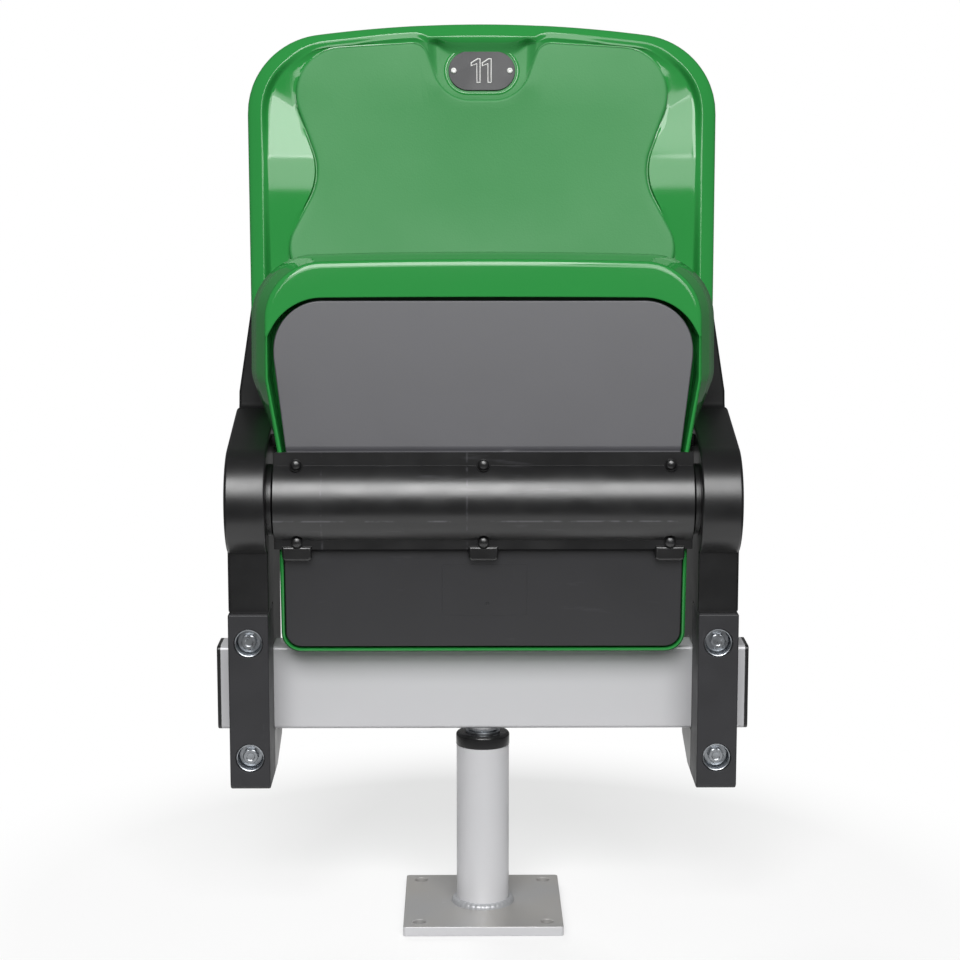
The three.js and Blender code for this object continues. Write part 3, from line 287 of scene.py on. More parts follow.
# A drill for carving, with a small flare where it leaves the face at its far end
def drill(radius, near, far, finish, flare=0.0, **where):
    profile = [(radius, near), (radius, far - flare)]
    if flare:
        profile += [(radius + flare, far), (radius + flare, far + 2)]
    return turned("drill", profile, finish, bore=False, steps=64, **where)


def splitAt(piece, axis, places):
    work = bmesh.new()
    work.from_mesh(piece.data)
    normal = Vector([1.0 if k == axis else 0.0 for k in range(3)])
    for place in places:
        geometry = work.verts[:] + work.edges[:] + work.faces[:]
        bmesh.ops.bisect_plane(work, geom=geometry, plane_co=normal * place * mm, plane_no=normal,
                               dist=1e-7)
    work.to_mesh(piece.data)
    work.free()


def reshape(piece, change):
    for vertex in piece.data.vertices:
        vertex.co = change(vertex.co / mm) * mm
    cleanMesh(piece.data)


# Even shading on rounded edges next to large flat faces
def evenNormals(piece):
    step = piece.modifiers.new("normals", "WEIGHTED_NORMAL")
    step.keep_sharp = True
    step.weight = 80


def mount(piece, body, slot, *nodes):
    if nodes:
        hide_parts(*nodes)
    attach(piece, body)


# Mounts a right-hand piece and its mirror image
def mountPair(piece, body, slot, node, even=False):
    mesh = piece.data.copy()
    mesh.transform(Matrix.Scale(-1, 4, (1, 0, 0)))
    mesh.flip_normals()
    cleanMesh(mesh)
    for half, side in ((piece, "right"), (addObject(piece.name.replace("Right", "Left"), mesh), "left")):
        if even:
            evenNormals(half)
        mount(half, body, slot, f"{node}_{side}")


def fromHex(text):
    parts = [int(text[k:k + 2], 16) / 255 for k in (1, 3, 5)]
    return tuple((c / 12.92 if c <= 0.04045 else ((c + 0.055) / 1.055) ** 2.4) for c in parts) + (1.0,)


# Gives each input a value, a hex colour or a link from another node's output
def feed(tree, node, inputs):
    for key, value in inputs.items():
        if isinstance(value, bpy.types.NodeSocket):
            tree.links.new(value, node.inputs[key])
        else:
            node.inputs[key].default_value = fromHex(value) if isinstance(value, str) else value


def addNode(tree, kind, inputs=None, **settings):
    node = tree.nodes.new("ShaderNode" + kind)
    for key, value in settings.items():
        setattr(node, key, value)
    feed(tree, node, inputs or {})
    return node


def calc(tree, operation, first, second=0.5):
    return addNode(tree, "Math", {0: first, 1: second}, operation=operation).outputs[0]


def blend(tree, share, first, second):
    return addNode(tree, "Mix", {0: share, 6: first, 7: second}, data_type="RGBA").outputs[2]


def ramp(tree, source, start, end, low=0.0, high=1.0, shape="SMOOTHSTEP"):
    inputs = {"Value": source, "From Min": start, "From Max": end, "To Min": low, "To Max": high}
    return addNode(tree, "MapRange", inputs, interpolation_type=shape).outputs[0]


def patches(tree, place, sizeMm, detail=4.0, roughness=0.5):
    inputs = {"Vector": place, "Scale": 1000 / sizeMm, "Detail": detail, "Roughness": roughness}
    return addNode(tree, "TexNoise", inputs).outputs["Fac"]


# Fine pale hairline scratches that run mostly along one direction
def addScratches(tree, place, colour, look):
    inputs = {"Vector": place, "Scale": look["stretch"], "Rotation": look.get("turn", (0, 0, 0))}
    stretched = addNode(tree, "Mapping", inputs).outputs["Vector"]
    lines = patches(tree, stretched, look["spacingMm"], 3.0, 0.7)
    share = ramp(tree, lines, *look["range"], 0, look["strength"], "LINEAR")
    return blend(tree, share, colour, look["colour"])


# A worn line across one axis of the piece, broken up along its length
def addLine(tree, place, colour, look):
    parts = addNode(tree, "SeparateXYZ", {"Vector": place})
    far = calc(tree, "ABSOLUTE", calc(tree, "ADD", parts.outputs[look["axis"]], -look["at"] * mm))
    line = ramp(tree, far, look["halfMm"] * mm, look["halfMm"] * mm / 3)
    broken = ramp(tree, patches(tree, place, look["brokenMm"]), 0.44, 0.6, 0.0, look["strength"])
    return blend(tree, calc(tree, "MULTIPLY", line, broken), colour, look["colour"])


# Uneven colour and gloss, plus a moulded, cast or sprayed grain as wide and deep as grainMm says
def surfaceMaterial(name, look, scratches=None, lines=(), metallic=0.0, ior=1.5, specular=0.5):
    material = bpy.data.materials.new(name)
    material.use_nodes = True
    tree = material.node_tree
    place = addNode(tree, "TexCoord").outputs["Object"]
    cloud = patches(tree, place, look["cloudMm"])
    colour = blend(tree, cloud, *look["colours"])
    if scratches:
        colour = addScratches(tree, place, colour, scratches)
    for line in lines:
        colour = addLine(tree, place, colour, line)
    wide, deep = look["grainMm"]
    bump = addNode(tree, "Bump", {"Strength": look.get("grain", 0.3), "Distance": deep * mm,
                                  "Height": patches(tree, place, wide, 2.0)})
    inputs = {"Base Color": colour, "Roughness": ramp(tree, cloud, 0.3, 0.7, *look["roughness"], "LINEAR"),
              "Normal": bump.outputs["Normal"], "Metallic": metallic, "Specular IOR Level": specular}
    if not metallic:
        inputs["IOR"] = ior
    feed(tree, tree.nodes["Principled BSDF"], inputs)
    return material


# Polypropylene from a polished mould: a wet-looking green that mirrors the sky in its valleys
polishedGreen = surfaceMaterial("polypropylenePolished", {
    "colours": ("#2f9344", "#2c8d41"), "roughness": (0.07, 0.1), "cloudMm": 90, "grainMm": (9, 0.02),
    "grain": 0.25})

# The same polypropylene from a spark-eroded mould: a dry, paler green; the 0.3 mm pits are drawn
# 1.8 mm wide so that they show
texturedGreen = surfaceMaterial("polypropyleneTextured", {
    "colours": ("#358f49", "#328a45"), "roughness": (0.5, 0.58), "cloudMm": 120, "grainMm": (1.8, 0.25),
    "grain": 0.35})

# Glass-filled nylon, moulded black: a low satin sheen with a faint flow pattern
satinBlack = surfaceMaterial("glassFilledNylon", {
    "colours": ("#111112", "#151516"), "roughness": (0.3, 0.38), "cloudMm": 35, "grainMm": (1.5, 0.05)},
    {"stretch": (0.15, 1, 1), "spacingMm": 9, "range": (0.66, 0.8), "strength": 0.25, "colour": "#4a4a4d"},
    specular=0.75)

# The landings under the back come from an eroded part of the mould and stay dry and black
dryBlack = surfaceMaterial("glassFilledNylonDry", {
    "colours": ("#121213", "#161617"), "roughness": (0.6, 0.7), "cloudMm": 30, "grainMm": (1.6, 0.1)},
    specular=0.3)

# The hinge cover, from the same nylon, rubbed along its parting line and marked by the mould's inserts
insertMark = {"axis": 0, "halfMm": 1.2, "brokenMm": 9, "strength": 0.3, "colour": "#606065"}
coverBlack = surfaceMaterial("glassFilledNylonRubbed", {
    "colours": ("#0f0f10", "#151516"), "roughness": (0.28, 0.36), "cloudMm": 26, "grainMm": (1.3, 0.06)},
    {"stretch": (0.12, 1, 1), "spacingMm": 10, "range": (0.62, 0.78), "strength": 0.4, "colour": "#55555a"},
    [{"axis": 2, "at": axle.z - 14, "halfMm": 1.1, "brokenMm": 19, "strength": 0.4, "colour": "#77777c"},
     {**insertMark, "at": -147}, {**insertMark, "at": -15}], specular=0.9)

# The clamp blocks: the same nylon with a rougher eroded face, so they look greyer
greyBlack = surfaceMaterial("glassFilledNylonGrained", {
    "colours": ("#2a2a2c", "#303033"), "roughness": (0.46, 0.56), "cloudMm": 28, "grainMm": (1.6, 0.12)},
    {"stretch": (1, 1, 0.25), "spacingMm": 10, "range": (0.64, 0.8), "strength": 0.3, "colour": "#58585b"})

# Polypropylene panels from a grained mould: dark grey, painted paler than the lower panel of the same
# plastic; the paler grey is painted sheen from the sky it faces
grainedPanelPaintedSheen = surfaceMaterial("polypropyleneGrainedPaintedSheen", {
    "colours": ("#48484c", "#4f4f54"), "roughness": (0.42, 0.5), "cloudMm": 70, "grainMm": (1.6, 0.12)},
    {"stretch": (0.3, 1, 1), "turn": (0.2, 0.6, 0.9), "spacingMm": 30, "range": (0.7, 0.76),
     "strength": 0.3, "colour": "#9a9a9c"}, specular=0.9)

# The lower panel: the same plastic from a finer grained mould, painted darker; the darker grey is painted
# shade where it faces the floor
finePanelPaintedShade = surfaceMaterial("polypropyleneFineGrainPaintedShade", {
    "colours": ("#242426", "#2a2a2d"), "roughness": (0.4, 0.48), "cloudMm": 60, "grainMm": (1.4, 0.08)},
    {"stretch": (0.2, 1, 1), "spacingMm": 16, "range": (0.66, 0.8), "strength": 0.25, "colour": "#5a5a5d"},
    specular=0.7)

# Turned polyamide: black with a soft gloss
turnedNylon = surfaceMaterial("polyamideTurned", {
    "colours": ("#141415", "#19191a"), "roughness": (0.22, 0.3), "cloudMm": 20, "grainMm": (1.2, 0.02)})

# Natural rubber sleeves: dead matt black
stopRubber = surfaceMaterial("rubberMoulded", {
    "colours": ("#121212", "#171716"), "roughness": (0.8, 0.9), "cloudMm": 10, "grainMm": (1.1, 0.08)},
    ior=1.52)

# Silver-grey polyester powder coat: a pale satin skin with a trace of orange peel
powderCoat = surfaceMaterial("polyesterPowderCoat", {
    "colours": ("#dddddf", "#d7d7da"), "roughness": (0.34, 0.42), "cloudMm": 110, "grainMm": (3.5, 0.04)},
    metallic=0.2)

# The coat over the weld, a darker grey than on the post, in small uneven patches
weldCoat = surfaceMaterial("polyesterPowderCoatOnWeld", {
    "colours": ("#bcbdc0", "#aeb0b3"), "roughness": (0.34, 0.44), "cloudMm": 8, "grainMm": (1.6, 0.05)},
    metallic=0.35)

# The same coat on the floor plate, painted darker than on its sides, in patches of bluish and warmer grey,
# with pale scuffs: the darker grey is painted shade on the plate's top
scuffedCoatPaintedShade = surfaceMaterial("polyesterPowderCoatDusty", {
    "colours": ("#b2b5ba", "#bbb6ae"), "roughness": (0.3, 0.42), "cloudMm": 80, "grainMm": (2.6, 0.06)},
    {"stretch": (1, 0.3, 1), "spacingMm": 14, "range": (0.66, 0.8), "strength": 0.4, "colour": "#d0d0d2"},
    metallic=0.35)

# Zinc plate on steel: bright, slightly blue, with soft patches of white bloom
zincPlate = surfaceMaterial("zincPlatedSteel", {
    "colours": ("#c2c6ca", "#a9adb2"), "roughness": (0.24, 0.42), "cloudMm": 7, "grainMm": (1.2, 0.03)},
    metallic=1.0)

# Spring steel wire, drawn and oiled: darker and smoother
springSteel = surfaceMaterial("springSteelDrawn", {
    "colours": ("#8d8f92", "#77797c"), "roughness": (0.25, 0.35), "cloudMm": 6, "grainMm": (1.0, 0.02)},
    metallic=1.0)

# Laminated engraving plastic: a dull dark grey face
engravedPlate = surfaceMaterial("acrylicLaminate", {
    "colours": ("#28282b", "#2f2f32"), "roughness": (0.42, 0.5), "cloudMm": 25, "grainMm": (1.2, 0.02)})

# White enamel paint rubbed into the engraved lines
whitePaint = surfaceMaterial("enamelPaint", {
    "colours": ("#f4f4f2", "#eaeae8"), "roughness": (0.4, 0.5), "cloudMm": 4, "grainMm": (0.9, 0.02)})
print("materials made")


def makePlate():
    plate = {"side": 150, "thick": 9, "corner": 3, "edge": 0.9, "hole": 6, "spacing": 120}
    half, apart, tools = plate["side"] / 2, plate["spacing"] / 2, []
    piece = prism("floorPlate", rectangle(half, half, plate["corner"], 5), 0, plate["thick"], scuffedCoatPaintedShade,
                  edges=(0.4, plate["edge"]))
    for x, y in ((-apart, -apart), (-apart, apart), (apart, -apart), (apart, apart)):
        tools.append(drill(plate["hole"], -2, plate["thick"], scuffedCoatPaintedShade, flare=0.8, at=(x, y, 0)))
    carve(piece, *tools)
    piece.data.materials.append(powderCoat)  # the sides get the post's paler coat; the top's darker coat is painted shade
    for face in piece.data.polygons:
        if abs(face.normal.z) < 0.6 and max(abs(face.center.x), abs(face.center.y)) > (half - 1) * mm:
            face.material_index = 1
    evenNormals(piece)
    mount(piece, "pedestal", "painted_steel", "base_plate")


# A weld laid in short overlapping pools, never quite even
def weldBead(name, bead, finish, bottom, up=1):
    loops = []
    for turn in spread(0, 2 * pi, 300)[:-1]:
        pool = abs(sin(turn * bead["pools"] / 2)) ** 0.7
        swell = 1 + 0.1 * noise.noise(Vector((cos(turn) * 2, sin(turn) * 2, bead["size"])))
        width = bead["size"] * swell * (0.93 + 0.07 * pool)
        height = bead["size"] * swell * (0.9 + 0.1 * pool)
        section = [(bead["inner"], 0)]
        for rise in spread(0, pi / 2, 8):
            section.append((bead["inner"] + width * cos(rise) ** 0.8, height * sin(rise) ** 0.9))
        loops.append([(r * cos(turn), r * sin(turn), bottom + up * h) for r, h in section])
    return loft(name, loops, finish, wrap=True, sharp=60)


def makePost():
    post = {"radius": 25, "wall": 3, "length": 156, "edge": 0.5, "weld": 4.9, "pools": 34}
    outer, high, edge = post["radius"], post["length"], post["edge"]
    inner = outer - post["wall"]
    base = reachOf("column_tube", 2)[0]
    profile = [(inner, 0), (outer, 0), (outer, high - edge), (outer - edge, high), (inner, high)]
    tube = turned("post", profile, powderCoat, steps=128, at=(0, 0, base))
    mount(tube, "pedestal", "painted_steel", "column_tube")
    bead = {"inner": outer + 0.1, "size": post["weld"], "pools": post["pools"]}
    mount(weldBead("postWeld", bead, weldCoat, base), "pedestal", "painted_steel", "column_weld")
    return base + high


def makeSwivel(postTop):
    bush = {"bore": 12.8, "flange": 25.4, "high": 12, "chamfer": 3, "spigot": 21.7, "deep": 30}
    bore, flange, high, chamfer, spigot, deep = bush.values()
    profile = [(bore, -deep), (spigot - 1, -deep), (spigot, 1 - deep), (spigot, 0), (flange - 0.5, 0),
               (flange, 0.5)]
    profile += arc(chamfer, spread(0, pi / 2, 6), (flange - chamfer, high - chamfer))
    profile += [(bore + 0.6, high), (bore, high - 0.6)]
    mount(turned("postBush", profile, turnedNylon, steps=128, at=(0, 0, postTop)), "pedestal", "nylon",
          "top_bush")
    washer = {"radius": 16.5, "thick": 2, "edge": 0.4}
    profile = ringProfile(bore, washer["radius"], 0, washer["thick"], washer["edge"])
    piece = turned("thrustRing", profile, zincPlate, steps=96, at=(0, 0, postTop + high))
    mount(piece, "pedestal", "zinc_steel", "thrust_washer")
    shaft = {"radius": 12.5, "collar": 14, "collarHigh": 5, "groove": 1.2, "edge": 0.5, "weld": 2.9,
             "pools": 22}
    low, high = reachOf("swivel_shaft", 2)
    clipLow, clipHigh = reachOf("shaft_clip", 2)
    collar, radius, edge = shaft["collar"], shaft["radius"], shaft["edge"]
    foot, neck = high - shaft["collarHigh"], radius - shaft["groove"]
    profile = [(radius - 1, low), (radius, low + 1), (radius, clipLow - clearance),
               (neck, clipLow - clearance), (neck, clipHigh + clearance), (radius, clipHigh + clearance),
               (radius, foot), (collar - edge, foot), (collar, foot + edge), (collar, high)]
    mount(turned("swivelShaft", profile, zincPlate, bore=False, steps=96), "turret", "zinc_steel",
          "swivel_shaft")
    bead = {"inner": collar + 0.1, "size": shaft["weld"], "pools": shaft["pools"]}
    mount(weldBead("beamWeld", bead, powderCoat, high, -1), "turret", "painted_steel", "beam_weld")


makePlate()
makeSwivel(makePost())
print("pedestal made")

beam = {"high": 80, "deep": 40, "wall": 3, "corner": 4, "length": 493, "cap": 3.5, "plug": 15, "edge": 1.2}
beamBottom, beamTop = [middleOf("beam").z + side * beam["high"] / 2 for side in (-1, 1)]


def beamLoop(inset, x):
    outline = rectangle(beam["deep"] / 2 - inset, beam["high"] / 2 - inset,
                        max(beam["corner"] - inset, 1.2))
    return [(p.x, p.y, x) for p in outline]


def makeBeam():
    home = (0, 0, middleOf("beam").z)
    half, wall = beam["length"] / 2, beam["wall"]
    loops = [beamLoop(0, -half), beamLoop(0, half), beamLoop(wall, half), beamLoop(wall, -half)]
    tube = loft("crossBeam", loops, powderCoat, wrap=True, to=alongX, at=home)
    mount(tube, "turret", "painted_steel", "beam")
    plug = wall + clearance
    loops = [beamLoop(plug + 1, half - beam["plug"]), beamLoop(plug, half + 1 - beam["plug"]),
             beamLoop(plug, half), beamLoop(0, half)]
    loops += [beamLoop(inset, half + beam["cap"] - down)
              for inset, down in reversed(roundOver(beam["edge"]))]
    cap = loft("beamCapRight", loops, satinBlack, to=alongX, at=home)
    mountPair(cap, "turret", "black_plastic", "beam_cap", even=True)


makeBeam()
backLean = radians(12)
backFoot = Vector((0, axle.y + 92, axle.z + 82))


# A place on the back, given along it and out of its face, in Y and Z
def onBack(along, out):
    return (backFoot.y + along * sin(backLean) - out * cos(backLean),
            backFoot.z + along * cos(backLean) + out * sin(backLean))


def leaned(p):
    return Matrix.Rotation(-backLean, 4, "X") @ p + backFoot


arm = {"inner": 196.5, "thick": 37, "disc": 51, "front": -68, "sole": 30, "heel": 67, "heelRise": 16,
       "above": 42, "below": 43, "strut": 124.8, "bend": 70, "shoulder": (89, 74.5), "reach": 125,
       "elbow": 8, "armThick": 12.5, "taperFrom": 56.3, "taperDelay": 30, "taperInner": 0.083,
       "taperOuter": 0.14, "land": 20.3, "tip": 5.5, "edges": (2.0, 3.0), "hub": 33, "hubBore": 16.6,
       "hubHigh": 4.9, "capHole": 16.3, "axleHole": 8.3, "boltHole": 4.3, "nutHole": 8.5, "stopDeep": 13.3,
       "screwHole": 5.8, "screwRises": (60, 108), "screwOut": 202, "dryFrom": 72}
armOuter, armMiddle = arm["inner"] + arm["thick"], arm["inner"] + arm["thick"] / 2
footTop, footBottom = beamTop + arm["above"], beamBottom - arm["below"]
boltRises = [middleOf("cup_washer_4").z, middleOf("cup_washer_3").z]
screwPlaces = [Vector((arm["screwOut"] - rise / 50, 0, rise)) for rise in arm["screwRises"]]


def frameOutline():
    back, rise = arm["shoulder"]
    start = atan2(rise, back) + acos(arm["disc"] / hypot(back, rise))
    end = 2 * pi - acos((arm["front"] - axle.y) / arm["disc"])
    face, high, low = beam["deep"] / 2, beamTop + clearance, beamBottom - clearance
    land, tip = -arm["land"], arm["tip"]
    return rounded([
        (-face, footBottom), (arm["sole"] - face, footBottom, 15),
        (arm["heel"], footBottom + arm["heelRise"], tip), (arm["heel"], footTop, arm["bend"]),
        (axle.y + arm["strut"], axle.z + arm["disc"] / 2, arm["bend"]),
        (*onBack(arm["reach"], land - arm["armThick"]), tip), (*onBack(arm["reach"], land), tip),
        (*onBack(-arm["elbow"], land), 7), (axle.y + back, axle.z + rise, 20),
        *arc(arm["disc"], spread(start, end, 48), axle.yz), (arm["front"], footTop + clearance),
        (-face, footTop + clearance), (-face, high), (face + clearance, high, 3),
        (face + clearance, low, 3), (-face, low)])


def taperArm(p):
    rise = p.z - axle.z - arm["taperFrom"]
    inner = max(0, rise) * arm["taperInner"]
    outer = max(0, rise - arm["taperDelay"]) * arm["taperOuter"]
    share = (p.x - arm["inner"]) / arm["thick"]
    return Vector((p.x - inner * (1 - share) - outer * share, p.y, p.z))


def makeSideFrames():
    piece = prism("sideFrameRight", divided([frameOutline()], 14)[0], arm["inner"], armOuter, satinBlack,
                  edges=arm["edges"], steps=5, to=alongX)
    start = axle.z + arm["taperFrom"]
    splitAt(piece, 2, (start, start + arm["taperDelay"]))
    reshape(piece, taperArm)
    tools = [drill(arm["capHole"], armOuter - 4, armOuter, satinBlack, flare=0.6, **aroundAxle),
             drill(arm["axleHole"], arm["inner"] - 4, armOuter - 3, satinBlack, **aroundAxle)]
    for stop in ("up_stop_right", "down_stop_right"):
        spot = middleOf(stop)
        tools.append(drill(arm["boltHole"], arm["inner"] - 5, arm["inner"] + arm["stopDeep"], satinBlack,
                           to=alongX, at=(0, spot.y, spot.z)))
    for rise in boltRises:
        for radius, near, far in ((arm["nutHole"], -arm["heel"] - 8, 9 - arm["heel"]),
                                  (arm["boltHole"], -arm["heel"], 25)):
            tools.append(drill(radius, near, far, satinBlack, to=facingFront, at=(armMiddle, 0, rise)))
    for place in screwPlaces:
        tool = drill(arm["screwHole"], -90, -arm["land"] - arm["armThick"] - 0.3, satinBlack,
                     to=facingFront, at=place)
        reshape(tool, leaned)
        tools.append(tool)
    carve(piece, *tools)
    low, high, rim, bore = arm["inner"] - arm["hubHigh"], arm["inner"] + 1, arm["hub"], arm["hubBore"]
    fuse(piece, turned("hub", [(bore, low), (rim - 1, low), (rim, low + 1), (rim, high), (bore, high)],
                       satinBlack, steps=96, **aroundAxle))
    piece.data.materials.append(dryBlack)
    for face in piece.data.polygons:
        if face.center.z / mm > axle.z + arm["dryFrom"] and (face.normal.y < -0.3 or face.normal.z > 0.4):
            face.material_index = 1
    mountPair(piece, "turret", "black_plastic", "side_frame", even=True)


def makeClamps():
    block = {"front": -75, "rear": -20.3, "toe": 6, "top": 1.6, "edge": 1.5, "recess": 13.3, "deep": 16,
             "shank": 4.3}
    outline = rounded([(block["front"], footBottom, block["toe"]), (block["rear"], footBottom),
                       (block["rear"], footTop), (block["front"], footTop, block["top"], 3)])
    piece = prism("clampRight", outline, arm["inner"], armOuter, greyBlack, edges=[block["edge"]] * 2,
                  to=alongX)
    tools = []
    for rise in boltRises:
        where = {"to": facingFront, "at": (armMiddle, 0, rise)}
        front = -block["front"]
        tools += [drill(block["recess"], front - block["deep"], front, greyBlack, flare=0.5, **where),
                  drill(block["shank"], 10, 70, greyBlack, **where)]
    carve(piece, *tools)
    mountPair(piece, "turret", "black_plastic", "clamp", even=True)


# Hexagons whose corners are turned off towards the faces: (height, corner radius share) pairs
def hexLoops(width, heights):
    loops = []
    for height, limit in heights:
        loop = []
        for turn in spread(0, 2 * pi, 60)[:-1]:
            side = width / 2 / cos((turn + pi / 6) % (pi / 3) - pi / 6)
            radius = min(side, width / 2 * limit)
            loop.append((radius * sin(turn), radius * cos(turn), height))
        loops.append(loop)
    return loops


# Cuts loops down to a radius
def roundedOff(loops, radius):
    return [[(x * min(1, radius / hypot(x, y)), y * min(1, radius / hypot(x, y)), z) for x, y, z in loop]
            for loop in loops]


def makeFasteners():
    bolt = {"width": 13, "head": 5.3, "shank": 4, "thread": 1.25, "threadDeep": 0.55, "threaded": 30,
            "nutBore": 4.3}
    cup = {"radius": 13, "wall": 1.2, "floor": 2, "deep": 14, "seat": 11, "seatHigh": 4.5, "bore": 4.3}
    radius, wall, floor, deep, seat, seatHigh, bore = cup.values()
    cupProfile = [(bore, 0), (radius - 0.8, 0), (radius, 0.8), (radius, deep - 0.3),
                  (radius - wall / 2, deep), (radius - wall, deep - 0.3), (radius - wall, floor + 0.6),
                  (radius - wall - 0.6, floor), (seat, floor), (seat, seatHigh - 0.8),
                  (seat - 0.8, seatHigh), (bore, seatHigh)]
    width, shank, pitch = bolt["width"], bolt["shank"], bolt["thread"]
    for number in range(1, 5):
        spot = middleOf(f"cup_washer_{number}")
        rear = reachOf(f"cup_washer_{number}", 1)[1]
        piece = turned(f"cupWasher{number}", cupProfile, zincPlate, steps=96, to=facingFront,
                       at=(spot.x, rear, spot.z))
        mount(piece, "turret", "zinc_steel", f"cup_washer_{number}")
        where = {"to": facingFront, "at": (spot.x, 0, spot.z), "sharp": 25}
        face, tip = [-y for y in reachOf(f"clamp_bolt_{number}", 1)]
        head = face - bolt["head"]
        plain = tip + bolt["threaded"] + 2
        loops = hexLoops(2 * shank, [(tip, 0.8), (tip + 0.8, 1.0)])
        for k in range(int(bolt["threaded"] / pitch)):
            crest = tip + 1 + k * pitch
            loops += hexLoops(2 * shank, [(crest, 1.0), (crest + pitch / 2, 1 - bolt["threadDeep"] / 4)])
        loops = roundedOff(loops + hexLoops(2 * shank, [(plain, 1.0), (head, 1.0)]), shank)
        loops += hexLoops(width, [(head, 1.12), (head + 0.3, 1.16), (face - 1.1, 1.16), (face - 0.4, 1.07),
                                  (face, 0.95), (face, 0.62), (face - 0.5, 0.5), (face - 0.6, 0.05)])
        mount(loft(f"clampBolt{number}", loops, zincPlate, **where), "turret", "zinc_steel",
              f"clamp_bolt_{number}")
        far, near = [-y for y in reachOf(f"clamp_nut_{number}", 1)]
        loops = hexLoops(width, [(near, 0.98), (near + 0.9, 1.16), (far - 0.9, 1.16), (far, 0.98)])
        loops += roundedOff(hexLoops(width, [(far, 1), (near, 1)]), bolt["nutBore"])
        piece = loft(f"clampNut{number}", loops, zincPlate, wrap=True, **where)
        mount(piece, "turret", "zinc_steel", f"clamp_nut_{number}")


makeSideFrames()
makeClamps()
makeFasteners()
print("beam, frames, clamps and bolts made")


def makeHinge():
    cap = {"radius": 16, "edge": 0.8, "slant": 0.5, "groove": 11.5, "grooveDeep": 0.4, "pip": 2.2}
    radius, edge, slant, groove, grooveDeep, pip = cap.values()
    low, high = reachOf("pivot_cap_right", 0)
    profile = [(radius - edge, low), (radius, low + slant), (radius, high - edge), (radius - edge, high),
               (groove, high), (groove - slant, high - grooveDeep), (groove - 2 * slant, high - grooveDeep),
               (groove - 3 * slant, high), (pip, high), (pip - 0.6, high - slant)]
    piece = turned("pivotCapRight", profile, satinBlack, bore=False, steps=96, **aroundAxle)
    mountPair(piece, "turret", "black_plastic", "pivot_cap")
    collar = {"bore": 8.3, "radius": 17, "edge": 0.8}
    low, high = reachOf("spring_collar_right", 0)
    profile = ringProfile(collar["bore"], collar["radius"], low, high, collar["edge"])
    piece = turned("springCollarRight", profile, zincPlate, steps=64, **aroundAxle)
    mountPair(piece, "turret", "zinc_steel", "spring_collar")
    bush = {"bore": 8.3, "spigot": 11.3, "flange": 16, "flangeThick": 8.9, "edge": 0.5}
    bore, spigot, flange, flangeThick, edge = bush.values()
    low, high = reachOf("hinge_bush_right", 0)
    lip = high - flangeThick
    profile = [(bore, low), (spigot - edge, low), (spigot, low + edge), (spigot, lip), (flange - edge, lip),
               (flange, lip + edge), (flange, high - edge), (flange - edge, high), (bore, high)]
    piece = turned("hingeBushRight", profile, turnedNylon, steps=64, **aroundAxle)
    mountPair(piece, "seat", "nylon", "hinge_bush")
    sleeve = {"radius": 6, "face": 4.6, "edge": 0.6, "bolt": 4, "boltLong": 13, "boltEdge": 0.5}
    radius, face, edge, bolt, boltLong, boltEdge = sleeve.values()
    for stop, name in (("up_stop", "upStopRight"), ("down_stop", "downStopRight")):
        spot = middleOf(stop + "_right")
        low, high = reachOf(stop + "_right", 0)
        neck = high - boltLong
        profile = [(face, low), (radius - edge, low), (radius, low + edge), (radius, neck - edge / 2),
                   (radius - edge / 2, neck), (bolt, neck), (bolt, high - boltEdge), (bolt - boltEdge, high)]
        piece = turned(name, profile, stopRubber, bore=False, steps=48, to=alongX, at=(0, spot.y, spot.z))
        mountPair(piece, "turret", "stop_rubber", stop)
    mountPair(makeSpring(), "seat", "zinc_steel", "return_spring")


def makeSpring():
    spring = {"wire": 1.6, "radius": 16, "turns": 6, "pitch": 4, "leg": 22, "steps": 36, "sides": 14}
    end = reachOf("return_spring_right", 0)[1] - spring["wire"]
    start = end - spring["turns"] * spring["pitch"]
    count = spring["turns"] * spring["steps"]
    route = []
    for k in range(count + 1):
        turn = -2 * pi * (count - k) / spring["steps"]
        out = Vector((0, cos(turn), sin(turn)))
        home = Vector((start + spring["pitch"] * k / spring["steps"], 0, 0))
        route.append((home + out * spring["radius"], out))
    last, out = route[-1]
    route += [(last + Vector((0, 0, rise)), out) for rise in spread(0, spring["leg"], 6)[1:]]
    ring = arc(spring["wire"], spread(0, 2 * pi, spring["sides"])[:-1])
    loops = [[place + out * p.x + Vector((p.y, 0, 0)) for p in ring] for place, out in route]
    return loft("returnSpringRight", loops, springSteel, at=axle, sharp=50)


makeHinge()
print("hinge parts made")

# Seat: x across, y along from the axle, z out of the side that faces the floor when down
seat = {"front": 221.5, "rear": 143.4, "half": 213.5, "hingeHalf": 187, "wingStart": 42, "wingEnd": 111,
        "wing": 36, "corner": 58, "rearCorner": 18, "knee": 56, "sideDraft": 15.5, "frontDraft": 5.5,
        "hingeDraft": 1, "slope": 0.13, "blend": 46, "under": 17, "crest": 27, "rearCrest": 13,
        "rearTaper": 10, "roll": 7, "crestInset": 5, "footInset": 14, "padInset": 30, "hingeDish": 3,
        "frontDish": 11, "skin": 3.5, "ridge": 2.2, "brow": 24, "browRadius": 11, "lip": 2.6,
        "crowns": (2.6, 2.6, 0.8, 2, 1), "crownHalf": 170, "crownFrom": 130, "crownOver": 50,
        "pocketFront": 184.5, "pocketHalf": 196, "pocketShoulder": 150, "pocketReach": 178,
        "pocketCorner": 52, "ribs": (82, 134, -92), "ribHalf": 174, "ribTop": 13.6, "lug": 21,
        "lugTop": 24.5, "lugEnds": (166.5, 184.6), "bore": 11.6}
pinSides = (-170, 0, 170)
pinRise = 35.5


